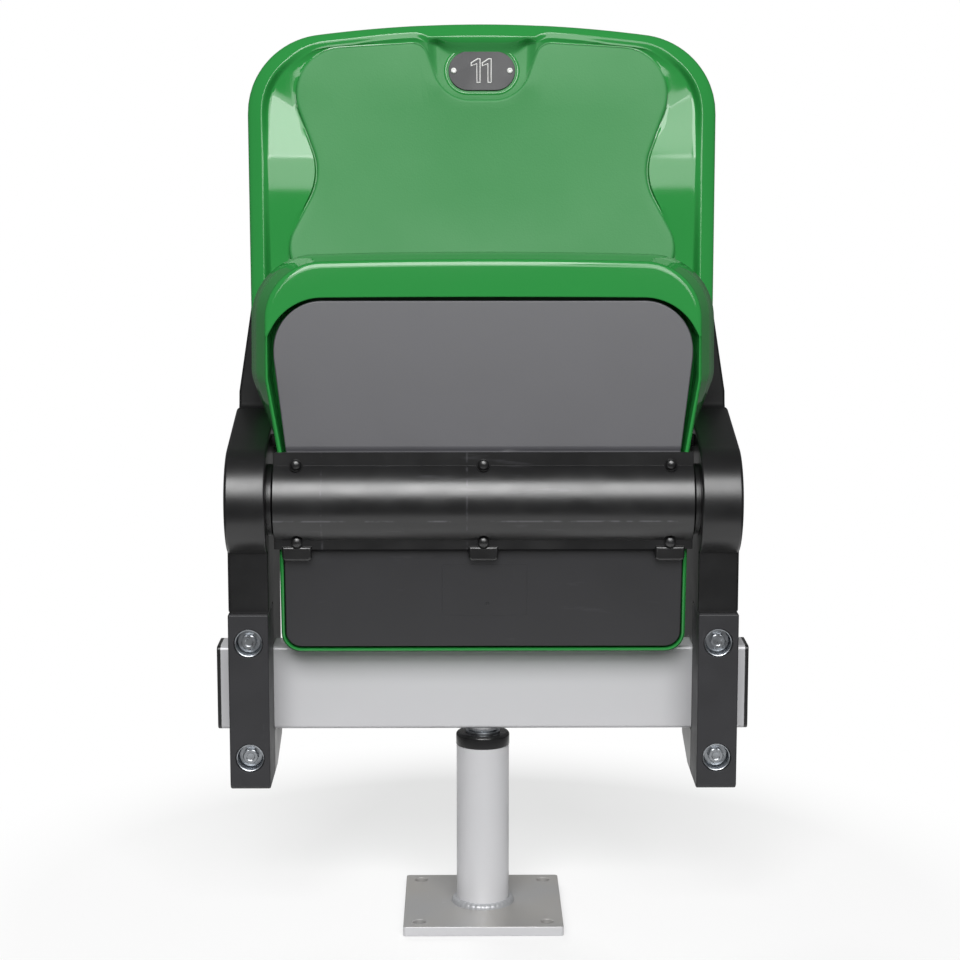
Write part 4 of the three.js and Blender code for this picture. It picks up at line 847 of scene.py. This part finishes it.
def seatCurve(along):
    far = abs(along)
    if far < seat["blend"]:
        return seat["slope"] * far * far / 2 / seat["blend"]
    return seat["slope"] * (far - seat["blend"] / 2)


def toSeat(p):
    return Vector((p[0], seatCurve(p[1]) - p[2] + axle.y, p[1] + axle.z))


def crestLevel(x, y):
    share = limited((-y - seat["rearTaper"]) / (seat["rear"] - seat["rearTaper"]))
    return -seat["crest"] + (seat["crest"] - seat["rearCrest"]) * share * share


def sitLevel(x, y):
    dish = seat["hingeDish"] + (seat["frontDish"] - seat["hingeDish"]) * smoothStep(y / 100)
    share = x / (seat["hingeHalf"] - seat["footInset"])
    return crestLevel(x, y) + dish * max(0, 1 - share * share)


def seatOutline(sizes, inset=0, small=3):
    rear, foot, side, front, radius = sizes
    lift = inset * tan(atan2(side - foot, seat["wingEnd"] - seat["wingStart"]) / 2)
    convex = lambda size: max(size - inset, small)
    return rounded(symmetric([
        (foot - inset, inset - rear, convex(seat["rearCorner"]), 8),
        (foot - inset, seat["wingStart"] + lift, seat["knee"] + inset, 10),
        (side - inset, seat["wingEnd"] + lift, convex(seat["wing"]), 8),
        (side - inset, seat["pocketShoulder"], small, 2),
        (side - inset, front - inset, convex(radius), 18)], (0, inset - rear), (0, front - inset)))


# The seat's rim, the ridge round its underside, the pocket for the panels, the crest's foot and the pad
def seatOutlines():
    draft, lip = seat["hingeDraft"], seat["lip"]
    rimSizes = (seat["rear"], seat["hingeHalf"], seat["half"], seat["front"], seat["corner"])
    ridgeSizes = (seat["rear"] - draft, seat["hingeHalf"] - draft, seat["half"] - seat["sideDraft"],
                  seat["front"] - seat["frontDraft"], seat["corner"] - seat["sideDraft"] / 2)
    foot = ridgeSizes[1] - lip
    rear = lip - ridgeSizes[0]
    pocket = rounded(symmetric([
        (foot, rear, seat["rearCorner"] - lip, 8), (foot - draft, seat["wingStart"], seat["knee"], 10),
        (ridgeSizes[2] - lip, seat["wingEnd"], seat["wing"], 8),
        (seat["pocketHalf"], seat["pocketShoulder"], 3, 2),
        (seat["pocketReach"], seat["pocketFront"], seat["pocketCorner"], 18)],
        (0, rear), (0, seat["pocketFront"])))
    outlines = divided([seatOutline(rimSizes), seatOutline(ridgeSizes), pocket,
                        seatOutline(rimSizes, seat["footInset"]),
                        seatOutline(rimSizes, seat["padInset"])], 12)
    crowned = lambda p: (max(0, 1 - (p.x / seat["crownHalf"]) ** 2)
                         * smoothStep((p.y - seat["crownFrom"]) / seat["crownOver"]))
    return [[p + Vector((0, crown * crowned(p))) for p in outline]
            for outline, crown in zip(outlines, seat["crowns"])]


def makePan():
    rim, ridge, pocket, foot, pad = seatOutlines()
    middle = Vector((0, seat["wingStart"]))
    under, roll = seat["under"], seat["roll"]
    loops, bands = [], []

    # level is a function of the place, to which more is added; part 1 has the textured face
    def ring(outline, level, more=0, part=0):
        loops.append([(p.x, p.y, level(p.x, p.y) + more) for p in outline])
        bands.append(part)

    for share in (0.04, 0.18, 0.32, 0.46, 0.6, 0.74, 0.86, 0.95):
        ring(shrunk(pad, middle, share), sitLevel, part=1)
    for far, more, part in ((-1.2, 0, 1), (-0.3, 0.5, 1), (0, 1.3, 0), (1.2, 1.3, 0), (2.6, 0.4, 0)):
        ring(offset(pad, far), sitLevel, more, part)
    for share in (0.4, 0.7, 1.0):
        ring(between(pad, foot, share),
             lambda x, y: sitLevel(x, y) * (1 - share) + (crestLevel(x, y) + 1) * share)
    crest = offset(rim, -seat["crestInset"])
    for share in (0.5, 1.0):
        ring(between(foot, crest, share), crestLevel, 1 - share)
    for turn in spread(0, pi / 2, 6)[1:]:
        ring(offset(rim, -seat["crestInset"] * (1 - sin(turn))), crestLevel, roll * (1 - cos(turn)))
    side = offset(ridge, seat["hingeDraft"] / 2)
    for share in (0.5, 1.0):
        ring(between(rim, side, share),
             lambda x, y: (crestLevel(x, y) + roll) * (1 - share) + (under - seat["ridge"]) * share)
    flat = lambda x, y: under
    wide = radians(seat["brow"])
    drop = seat["browRadius"] * (1 - cos(wide))
    for k, turn in enumerate(spread(0, pi / 2 - wide, 5)[1:], 1):
        ring(offset(between(side, ridge, k / 5), -seat["ridge"] * (1 - cos(turn)) * 0.8), flat,
             -drop - seat["ridge"] * (cos(wide) - sin(turn)))
    edge = seat["ridge"] * (1 - sin(wide)) * 0.8
    span = edge + seat["browRadius"] * sin(wide)
    widths = [(p - q).length for p, q in zip(ridge, pocket)]
    for turn in spread(wide, 0, 5)[1:]:
        far = edge + seat["browRadius"] * (sin(wide) - sin(turn))
        ring(offset(ridge, [-far * min(1, 0.45 * w / span) for w in widths]), flat,
             -seat["browRadius"] * (1 - cos(turn)))
    for far, down in ((1.3, 0), (1.0, 0), (0.3, 0.3), (0, 1)):
        ring(offset(pocket, far), flat, -down)
    floor = offset(pocket, -0.8)
    ring(floor, sitLevel, seat["skin"] + 1.5)
    ring(offset(floor, -1.5), sitLevel, seat["skin"])
    for share in (0.85, 0.7, 0.5, 0.3, 0.04):
        ring(shrunk(floor, middle, share), sitLevel, seat["skin"])
    pan = loft("seatPan", loops, [polishedGreen, texturedGreen], bands=bands, to=toSeat, sharp=40)
    # ribs and the two lugs that hold the bushes, hidden behind the panels and the cover
    extras = []
    end, top = seat["ribHalf"], seat["ribTop"]
    for place in seat["ribs"]:
        outline = [Vector((x, sitLevel(x, place) + 1.5)) for x in range(-end, end + 1, 12)]
        outline += [Vector((end, top)), Vector((-end, top))]
        extras.append(prism("rib", outline, place - 1.5, place + 1.5, polishedGreen, edges=(0.1, 0.1),
                            to=lambda p: toSeat((p[0], p[2], p[1]))))
    lug = [Vector((seat["lugTop"], -seat["lug"])), *arc(seat["lug"], spread(1.5 * pi, 0.5 * pi, 24)),
           Vector((seat["lugTop"], seat["lug"]))]
    for side in (-1, 1):
        ends = sorted(side * x for x in seat["lugEnds"])
        extras.append(prism("lug", lug, *ends, polishedGreen, edges=(0.8, 0.2), **aroundAxle))
    fuse(pan, *extras)
    for side in (-1, 1):
        carve(pan, turned("bore", [(seat["bore"], 160 * side), (seat["bore"], 190 * side)], polishedGreen,
                          bore=False, **aroundAxle))
    mount(pan, "seat", "green_plastic", "seat_pan")


# A panel that follows the seat and steps down where it goes under the hinge cover
def makePanel(name, panel, outline, node, rise, finish):
    away = copysign(1, rise)
    piece = prism(name, outline, 0, panel["thick"], finish, edges=(0.3, 1.1), steps=4)
    splitAt(piece, 1, (*panel["cuts"], panel["start"], panel["start"] + away * panel["bevel"]))

    def follow(p):
        share = limited(1 - away * (p.y - panel["start"]) / panel["bevel"])
        return toSeat((p.x, p.y, panel["level"] - panel["drop"] * share + p.z))

    reshape(piece, follow)
    for x in pinSides:
        carve(piece, drill(panel["pinHole"], 0, 90, finish, to=facingFront,
                           at=(x, axle.y + 45, axle.z + rise)))
    evenNormals(piece)
    mount(piece, "seat", "panel_plastic", node)


def makePanels():
    upper = {"front": 182, "half": 190.5, "shoulder": 132, "corner": 44, "footHalf": 179.5, "start": 46.7,
             "bevel": 5, "drop": 1.8, "reach": 16, "level": 14.5, "thick": 3.5, "cuts": (36, 41),
             "pinHole": 2.8}
    inner = upper["start"] - upper["reach"]
    outline = rounded(symmetric([
        (upper["footHalf"], inner, 3, 3), (upper["footHalf"], upper["start"], 26, 3),
        (upper["half"], upper["shoulder"], 60, 8), (upper["half"], upper["front"], upper["corner"], 16)],
        (0, inner), (0, upper["front"])))
    makePanel("upperPanel", upper, outline, "upper_panel", pinRise, grainedPanelPaintedSheen)
    lower = {"start": -43, "rear": -137.2, "half": 182.2, "corner": 14, "bevel": 11, "drop": 5, "reach": 16,
             "level": 14, "thick": 3.5, "cuts": (-37, -32), "pinHole": 2.8}
    inner = lower["start"] + lower["reach"]
    outline = rounded(symmetric([
        (lower["half"], lower["rear"], lower["corner"], 10), (lower["half"], inner, 3, 3)],
        (0, lower["rear"]), (0, inner)))
    makePanel("lowerPanel", lower, outline, "lower_panel", -pinRise, finePanelPaintedShade)
    face = lower["level"] + lower["thick"]
    field = {"x": 1, "y": -83, "wide": 79, "high": 50, "line": 0.9, "proud": 0.14}
    loops = []
    for inset, out in ((0, -0.2), (0.2, field["proud"]), (field["line"], field["proud"]),
                       (field["line"] + 0.2, -0.2)):
        ring = rectangle(field["wide"] / 2 - inset, field["high"] / 2 - inset, 3, 4)
        loops.append([(p.x + field["x"], p.y + field["y"], face + out) for p in ring])
    mount(loft("panelField", loops, finePanelPaintedShade, wrap=True, to=toSeat), "seat", "panel_plastic")
    gate = turned("gateMark", [(2.2, face - 0.2), (2.0, face + 0.3), (1.2, face + 0.35), (0.9, face + 0.1)],
                  finePanelPaintedShade, bore=False, steps=32, at=(4, -96.5, 0))
    reshape(gate, toSeat)
    mount(gate, "seat", "panel_plastic")


makePan()
makePanels()
print("seat pan and panels made")


# The barrel and its two flanges, with a small hollow curve where they meet
def coverSection(cover, radius, level, hollow, trim=0):
    middle = Vector((-level - hollow, sqrt((radius + hollow) ** 2 - (level + hollow) ** 2)))
    turn = atan2(middle.y, middle.x)
    bend = arc(hollow, spread(0, turn - pi, 8)[:-1], middle)
    low = [Vector((p.x, -p.y)) for p in reversed(bend)]
    return [Vector((-level, cover["top"] - trim)), *bend, *arc(radius, spread(turn, 2 * pi - turn, 40)),
            *low, Vector((-level, trim - cover["bottom"]))]


def makeCover():
    cover = {"radius": 40, "half": 190.7, "wall": 3, "level": 20.3, "top": 46.4, "bottom": 42.7,
             "recess": 6.5, "boss": 9, "hollow": 0.1, "tabWide": 27, "tabDeep": 10.5, "tabThick": 4,
             "tabOut": 3}
    radius, half, wall = cover["radius"], cover["half"], cover["wall"]
    level, hollow = cover["level"], cover["hollow"]
    slab = {"finish": coverBlack, "edges": (0.1, 0.1), **aroundAxle}
    inside = level - wall
    outer = coverSection(cover, radius, level, hollow)
    inner = coverSection(cover, radius - wall, inside, 2)
    piece = prism("hingeCover", outer + inner[::-1], -half, half, coverBlack, **aroundAxle)
    # the ends and bosses stay just inside the skin, so that they fuse with it cleanly
    core = coverSection(cover, radius - 0.4, level - 0.4, hollow, 0.4)
    filled = core + [Vector((-inside - 0.3, core[-1].y)), Vector((-inside - 0.3, core[0].y))]
    ends = [prism("end", filled, low, low + wall, **slab) for low in (0.5 - half, half - 0.5 - wall)]
    bosses, recesses = [], []
    for x in pinSides:
        for rise in (pinRise, -pinRise):
            where = {"to": facingFront, "at": (x, axle.y, axle.z + rise)}
            boss = prism("boss", filled, x - cover["boss"] - 2, x + cover["boss"] + 2, **slab)
            keep = turned("keep", [(cover["boss"], 5), (cover["boss"], 45)], coverBlack, bore=False,
                          steps=48, **where)
            bosses.append(combine(boss, [keep], "INTERSECT"))
            recesses.append(drill(cover["recess"], level - 0.2, 45, coverBlack, **where))
    wide, low, high = cover["tabWide"] / 2, -cover["bottom"] - cover["tabDeep"], 3 - cover["bottom"]
    for x in pinSides:
        outline = rounded([(x - wide, low, 4), (x + wide, low, 4), (x + wide, high), (x - wide, high)], 6)
        bosses.append(prism("tab", outline, level - cover["tabThick"], level + cover["tabOut"], coverBlack,
                            edges=(0.3, 2.6), steps=5, to=facingFront, at=axle))
    fuse(piece, *ends, *bosses)
    carve(piece, *recesses)
    evenNormals(piece)
    mount(piece, "seat", "black_plastic", "hinge_cover")


def makePins():
    pin = {"head": 5, "high": 6, "brim": 3.2, "edge": 0.4, "stem": 2.5, "deep": 8}
    head, high, brim, edge, stem, deep = pin.values()
    for number in range(1, 7):
        spot = middleOf(f"cover_pin_{number}")
        base = -reachOf(f"cover_pin_{number}", 1)[0] - high
        dome = [(head * cos(t), base + brim + (high - brim) * sin(t)) for t in spread(0, pi / 2, 6)[:-1]]
        profile = [(stem - 0.5, base - deep), (stem, base - deep + 0.6), (stem, base), (head - 0.3, base),
                   (head, base + edge), *dome, (0.8, base + high)]
        piece = turned(f"coverPin{number}", profile, coverBlack, bore=False, steps=48, to=facingFront,
                       at=(spot.x, 0, spot.z))
        mount(piece, "seat", "black_plastic", f"cover_pin_{number}")


makeCover()
makePins()
print("hinge cover and pins made")

# Back: x across, y up along its face from its bottom edge, z out of its face
back = {"high": 360, "half": 226.5, "footHalf": 219, "cornerDrop": 16, "corner": 76, "footCorner": 40,
        "crown": 1200, "crownRise": 12, "flange": 34, "land": 20, "armReach": 125, "flangeGrowth": 70,
        "wall": 4, "crestInset": 13.5, "valleyInset": 20, "valley": 9, "valleyWidth": 40,
        "rim": [(0.03, 0.04), (0.08, 0.2), (0.15, 0.5), (0.35, 1.5), (0.6, 2.9), (0.78, 4.0), (0.9, 5.1),
                (0.97, 6.2), (1.0, 7.6)],
        "padLift": 1, "padDish": 13, "padDeep": 0.42, "padTop": 0.803, "padBottom": 0.05, "evenTo": 258,
        "evenOver": 45, "sideFrom": 110, "sideOver": 30, "bow": 0.75, "bowRise": 230, "bowAbove": 42,
        "bowBelow": 130, "bowFoot": 1.3, "bowFrom": 70, "bowOver": 60, "softFrom": 285, "softReach": 40,
        "give": 12, "giveFrom": 50, "giveOver": 25, "giveHalf": 60, "giveFade": 30, "topTilt": 1.3,
        "tiltFrom": 312, "tiltOver": 20, "notchHalf": 66, "notchFoot": 262, "notchTop": 336}
padShares = [(0.72, 0.055, 0.16), (0.72, 0.26, 0.24), (0.835, 0.405, 0.17), (0.675, 0.6, 0.26),
             (0.87, 0.93, 0.2), (0.25, 0.955, 0.07), (0.16, 0.803, 0.16)]


def toBack(p):
    return Vector((p[0], *onBack(p[1], p[2])))


def padOutline():
    corners = [(x * back["half"], y * back["high"], r * back["half"], 16) for x, y, r in padShares]
    outline = rounded(symmetric(corners, (0, back["padBottom"] * back["high"]),
                                (0, back["padTop"] * back["high"])))
    return divided([outline], 9)[0]


def backOutline():
    return rounded(symmetric([(back["footHalf"], 0, back["footCorner"], 14),
                              (back["half"], back["high"] - back["cornerDrop"], back["corner"], 24)],
                             (0, 0), (0, back["high"] + back["crownRise"], back["crown"], 24)))


# Where the ray through a point of the pad starts, so that it meets the edge about square
def raySource(p, middle):
    notch = padShares[5][0] * back["half"]
    if p.y < middle.y:
        return middle
    return Vector((p.x * (1 - smoothStep((abs(p.x) - notch) / notch)), middle.y))


# A plain outline well inside the pad's waves
def padCore(pad, middle):
    brim = middle.y + (back["padTop"] * back["high"] - middle.y) * 0.66
    return [Vector((p.x * (1.15 - 0.6 * abs(p.x) / back["half"]),
                    middle.y + (min(p.y, brim) + max(0, p.y - brim) * 0.2 - middle.y) * 0.7)) for p in pad]


def padLevel(x, y, i=0):
    side = x / (padShares[4][0] * back["half"])
    rise = y / (back["padDeep"] * back["high"]) - 1
    return -back["padLift"] - back["padDish"] * max(0, 1 - side * side) * max(0, 1 - rise * rise)


# How much shallower the side valleys are at a height: most at bowRise, and deeper than even at the foot
def shallower(y):
    if y > back["bowRise"]:
        return back["bow"] * exp(-((y - back["bowRise"]) / back["bowAbove"]) ** 2)
    share = smoothStep((back["bowRise"] - y) / back["bowBelow"])
    return back["bow"] * (1 - share) + (1 - back["bowFoot"]) * share


def makeBackShell():
    pad = padOutline()
    middle = Vector((0, back["high"] / 2))
    outline = backOutline()
    edge = [rayTo(outline, raySource(p, middle), p) for p in pad]
    core = padCore(pad, middle)
    widths = [(p - q).length for p, q in zip(pad, edge)]
    inset = lambda size, share: offset(edge, [-min(size, share * w) for w in widths])
    outward = lambda size, share: offset(pad, [min(size, share * w) for w in widths])
    atSide = lambda p: (smoothStep((abs(p.x) - back["sideFrom"]) / back["sideOver"])
                        * (1 - smoothStep((p.y - back["evenTo"]) / back["evenOver"])))
    valleys = [-back["valley"] * max(smoothStep((w - back["crestInset"]) / back["valleyWidth"]), atSide(p))
               for w, p in zip(widths, pad)]
    loops, bands = [], []

    # level is a function of the place, to which more is added; part 1 has the textured face
    def ring(points, level, more=0, part=0):
        loops.append([(p.x, p.y, level(p.x, p.y, i) + more) for i, p in enumerate(points)])
        bands.append(part)

    for share in (0.05, 0.2, 0.35, 0.5, 0.65, 0.8, 0.92):
        ring(shrunk(core, middle, share), padLevel, part=1)
    for share in (0, 0.2, 0.4, 0.6, 0.8, 0.95):
        ring(between(core, offset(pad, -8), share), padLevel, part=1)
    crease = lambda y: 1 - smoothStep((y - back["softFrom"]) / back["softReach"])
    for far, down in ((-3.5, 0), (-2.2, 0.15), (-1.2, 0.55), (-0.5, 1.1), (-0.1, 1.8)):
        ring(offset(pad, far), lambda x, y, i: padLevel(x, y) - down * (0.35 + 0.65 * crease(y)), part=1)
    bow = lambda x, y: shallower(y) * smoothStep((abs(x) - back["bowFrom"]) / back["bowOver"])
    floor = lambda x, y, i: valleys[i] * (1 - bow(x, y))
    groove = lambda x, y, i: min(padLevel(x, y) - 2.6 * crease(y), floor(x, y, i) - 0.3 * crease(y))
    ring(pad, groove)
    ring(outward(0.9, 0.06), groove)
    padFoot = outward(2, 0.09)
    # over the notch the crest's foot gives way to a wider slope
    gives = [back["give"] * smoothStep((w - back["giveFrom"]) / back["giveOver"])
             * (1 - smoothStep((abs(p.x) - back["giveHalf"]) / back["giveFade"]))
             for w, p in zip(widths, pad)]
    foot = offset(edge, [-min(back["valleyInset"] + far, 0.75 * w) for far, w in zip(gives, widths)])
    # the top valley leans down to the pad
    tilt = lambda y: back["topTilt"] * smoothStep((y - back["tiltFrom"]) / back["tiltOver"])
    for share in (0, 0.15, 0.35, 0.55, 0.75, 0.92, 1.0):
        ring(between(padFoot, foot, share), lambda x, y, i: floor(x, y, i) - tilt(y) * (1 - share))
    crest = inset(back["crestInset"], 0.45)
    for share in (0.12, 0.25, 0.4, 0.55, 0.7, 0.85, 1.0):
        ring(between(foot, crest, share), lambda x, y, i: floor(x, y, i) * (1 - smoothStep(share)))
    flat = lambda x, y, i: 0
    for share, down in back["rim"]:
        ring(offset(edge, [-min(back["crestInset"], 0.45 * w) * (1 - share) for w in widths]), flat, -down)
    growth = lambda y: smoothStep((y - back["armReach"] - back["corner"] / 2) / back["flangeGrowth"])
    flange = lambda x, y, i: -back["land"] - (back["flange"] - back["land"]) * growth(y)
    ring(edge, flange, 0.8)
    ring(offset(edge, -0.8), flange)
    ring(offset(edge, 0.6 - back["wall"]), flange)
    ring(offset(edge, -back["wall"]), lambda x, y, i: flange(x, y, i) + 0.6 * growth(y))
    ring(inset(back["wall"] + 2, 0.5), flat, -back["land"])
    ring(offset(pad, -2), flat, -back["land"])
    ring(offset(pad, -9), padLevel, -back["wall"])
    for share in (0.7, 0.35, 0):
        ring(between(core, offset(pad, -9), share), padLevel, -back["wall"])
    for share in (0.75, 0.5, 0.25, 0.05):
        ring(shrunk(core, middle, share), padLevel, -back["wall"])
    shell = loft("backShell", loops, [polishedGreen, texturedGreen], bands=bands, to=toBack, sharp=42)
    for face in shell.data.polygons:
        spot = face.center / mm - backFoot
        inNotch = abs(spot.x) < back["notchHalf"] and back["notchFoot"] < spot.z < back["notchTop"]
        if inNotch and face.normal.y < 0:
            face.material_index = 1
    mount(shell, "turret", "green_plastic", "back_shell")


def strokeLoop(name, points, thick, finish, level):
    curve = bpy.data.curves.new(name, "CURVE")
    curve.dimensions = "3D"
    curve.bevel_depth = thick * mm
    curve.bevel_resolution = 2
    line = curve.splines.new("POLY")
    line.points.add(len(points) - 1)
    for spot, (x, y) in zip(line.points, points):
        spot.co = (*(toBack((x, y, level)) * mm), 1)
    line.use_cyclic_u = True
    curve.materials.append(finish)
    return addObject(name, curve)


def makeNumberPlate():
    plate = {"wide": 64, "high": 38, "thick": 1.5, "rise": 317.6, "level": -8.7, "digitHigh": 23,
             "digitWide": 8.6, "stem": 3.2, "gap": 2.1, "line": 0.68, "rivetOut": 27}
    y = plate["high"] / 2
    outline = [p + Vector((0, plate["rise"])) for p in rectangle(plate["wide"] / 2, y, y, 20)]
    level = plate["level"]
    top = level + plate["thick"]
    piece = prism("numberPlate", outline, level, top, engravedPlate, edges=(0.1, 0.4), to=toBack)
    evenNormals(piece)
    mount(piece, "turret", "plate_plastic", "number_plate")
    lip = ((1.6, -0.9), (1.8, 0), (2.2, 0.4), (2.9, 0.5), (3.6, 0.3), (4.6, -0.4), (4.8, -0.9))
    loops = [[(p.x, p.y, level + up) for p in offset(outline, far)] for far, up in lip]
    mount(loft("plateLip", loops, polishedGreen, wrap=True, to=toBack), "turret", "green_plastic")
    high, wide, stem = plate["digitHigh"], plate["digitWide"], plate["stem"]
    shape = [(wide, 0), (wide, high), (wide - stem + 0.6, high), (0, high * 0.83), (0, high * 0.7),
             (wide - stem, high * 0.8), (wide - stem, 0)]
    for number, start in enumerate((-wide - plate["gap"] / 2, plate["gap"] / 2), 1):
        points = [(start + a - 0.6, plate["rise"] - high / 2 + b) for a, b in shape]
        mount(strokeLoop(f"digit{number}", points, plate["line"], whitePaint, top), "turret",
              "plate_plastic")
    rivet = [(1.2, top - 5), (1.5, top - 4.7), (1.5, top + 0.3), (2.75, top + 0.3), (2.75, top + 0.7),
             (2.3, top + 1.4), (1.5, top + 1.75), (1.0, top + 1.6), (0.7, top + 0.9)]
    for name, side in (("left", -1), ("right", 1)):
        piece = turned(f"plateRivet{name.title()}", rivet, whitePaint, bore=False, steps=40,
                       at=(side * plate["rivetOut"], plate["rise"], 0))
        reshape(piece, toBack)
        mount(piece, "turret", "zinc_steel", f"plate_rivet_{name}")


def makeBackScrews():
    level = -(back["land"] + 0.6 + arm["armThick"])
    head = [(2.2, -20.5), (2.5, -19.9), (2.5, 0), (5.3, 0), (5.5, 0.3), (5.3, 1.4), (4.2, 2.7), (2.6, 3.4),
            (2.2, 3.5), (1.8, 2.2), (0.4, 1.6)]
    places = [(side * place.x, place.z) for side in (-1, 1) for place in screwPlaces]
    for number, (x, rise) in enumerate(places, 1):
        piece = turned(f"backScrew{number}", head, zincPlate, bore=False, steps=48)
        reshape(piece, lambda p: toBack((p.x + x, p.y + rise, level - p.z)))
        mount(piece, "turret", "zinc_steel", f"back_screw_{number}")


makeBackShell()
makeNumberPlate()
makeBackScrews()
print("back made")

# The solids that stay as they are, with their finish
for node, finish in (("lower_bush", turnedNylon), ("shaft_clip", zincPlate), ("axle", zincPlate)):
    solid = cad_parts[node]
    solid.data.materials.clear()
    solid.data.materials.append(finish)
    shadeSmooth(solid.data, 30)


# One for rays from the camera and for those that gloss and glass send on, nought for soft light
def seenBy(tree, path):
    glossy = calc(tree, "MAXIMUM", path["Is Camera Ray"], path["Is Glossy Ray"])
    return calc(tree, "MAXIMUM", glossy, path["Is Transmission Ray"])


# White paper that keeps the shadow near the post and melts into the white surround further out;
# soft light finds it grey, so that it throws little back up
def addFloor():
    floor = {"radius": 0.7, "paper": "#fafafa", "bounce": "#7c7c7c", "lift": 0.6, "fadeFrom": 0.2,
             "fadeTo": 0.62}
    bpy.ops.mesh.primitive_circle_add(vertices=128, radius=floor["radius"], fill_type="NGON",
                                      location=(0, 0, cadLow.z - 0.0004))
    plane = bpy.context.object
    plane.name = "floor"
    material = bpy.data.materials.new("paperFloor")
    material.use_nodes = True
    tree = material.node_tree
    tree.nodes.clear()
    path = addNode(tree, "LightPath").outputs
    seen = seenBy(tree, path)
    paper = addNode(tree, "BsdfDiffuse", {"Color": blend(tree, seen, floor["bounce"], floor["paper"])})
    place = addNode(tree, "TexCoord").outputs["Object"]
    far = addNode(tree, "VectorMath", {0: place}, operation="LENGTH").outputs["Value"]
    outer = calc(tree, "MULTIPLY", ramp(tree, far, floor["fadeFrom"], floor["fadeTo"]), seen)
    near = calc(tree, "MULTIPLY", path["Is Camera Ray"], floor["lift"])
    white = addNode(tree, "Emission", {"Color": "#ffffff"})
    share = calc(tree, "MAXIMUM", outer, near)
    mix = addNode(tree, "MixShader", {0: share, 1: paper.outputs[0], 2: white.outputs[0]})
    addNode(tree, "OutputMaterial", {"Surface": mix.outputs[0]})
    plane.data.materials.append(material)


# White for the camera; gloss and glass find the white backdrop behind the seat too, and an even
# room elsewhere
def addRoom():
    room = {"level": 0.13, "backdrop": 1.0, "backdropSide": 0.975, "backdropTop": 0.3, "blur": 0.035}
    world = bpy.data.worlds.new("room")
    bpy.context.scene.world = world
    world.use_nodes = True
    tree = world.node_tree
    tree.nodes.clear()
    place = addNode(tree, "TexCoord").outputs["Generated"]
    parts = addNode(tree, "SeparateXYZ", {"Vector": place}).outputs
    path = addNode(tree, "LightPath").outputs
    away = ramp(tree, parts["Y"], room["backdropSide"], room["backdropSide"] + room["blur"])
    low = ramp(tree, parts["Z"], room["backdropTop"], room["backdropTop"] - room["blur"])
    mirrored = calc(tree, "MULTIPLY", calc(tree, "MULTIPLY", away, low), seenBy(tree, path))
    white = calc(tree, "MAXIMUM", mirrored, path["Is Camera Ray"])
    level = ramp(tree, white, 0.0, 1.0, room["level"], room["backdrop"], "LINEAR")
    shade = addNode(tree, "Background", {"Strength": level, "Color": "#ffffff"})
    addNode(tree, "OutputWorld", {"Surface": shade.outputs[0]})


def addLight(name, place, target, size, power, mirrored=True):
    lamp = bpy.data.lights.new(name, "AREA")
    lamp.shape = "RECTANGLE"
    lamp.size, lamp.size_y = size
    lamp.energy = power
    light = addObject(name, lamp)
    light.location = place
    light.rotation_euler = (Vector(target) - Vector(place)).to_track_quat("-Z", "Y").to_euler()
    light.visible_camera = False
    light.visible_glossy = mirrored


def addCamera():
    view = {"place": (-0.0191, -2.1083, 0.7476), "pitch": 8.858, "yaw": 0.447, "lens": 85.37}
    camera = bpy.data.cameras.new("photoCamera")
    camera.lens = view["lens"]
    camera.sensor_width = 36
    eye = addObject("photoCamera", camera)
    eye.location = view["place"]
    eye.rotation_euler = (radians(90 - view["pitch"]), 0, radians(-view["yaw"]))
    bpy.context.scene.camera = eye


addFloor()
addRoom()
addLight("frontSoftbox", (-0.9, -5.1, 4.8), (0, 0, 0.65), (2.8, 2.9), 258)
addLight("fillSoftbox", (1.6, -5.1, 4.8), (0, 0, 0.65), (2.2, 2.9), 115)
addLight("frontCard", (0.6, -5.0, 2.65), (0, 0, 0.6), (4.6, 1.3), 80)
addLight("rearSoftbox", (-1.2, 3.2, 2.4), (0, 0, 0.5), (2.4, 1.6), 70, mirrored=False)
addCamera()
bpy.context.scene.view_settings.view_transform = "Standard"
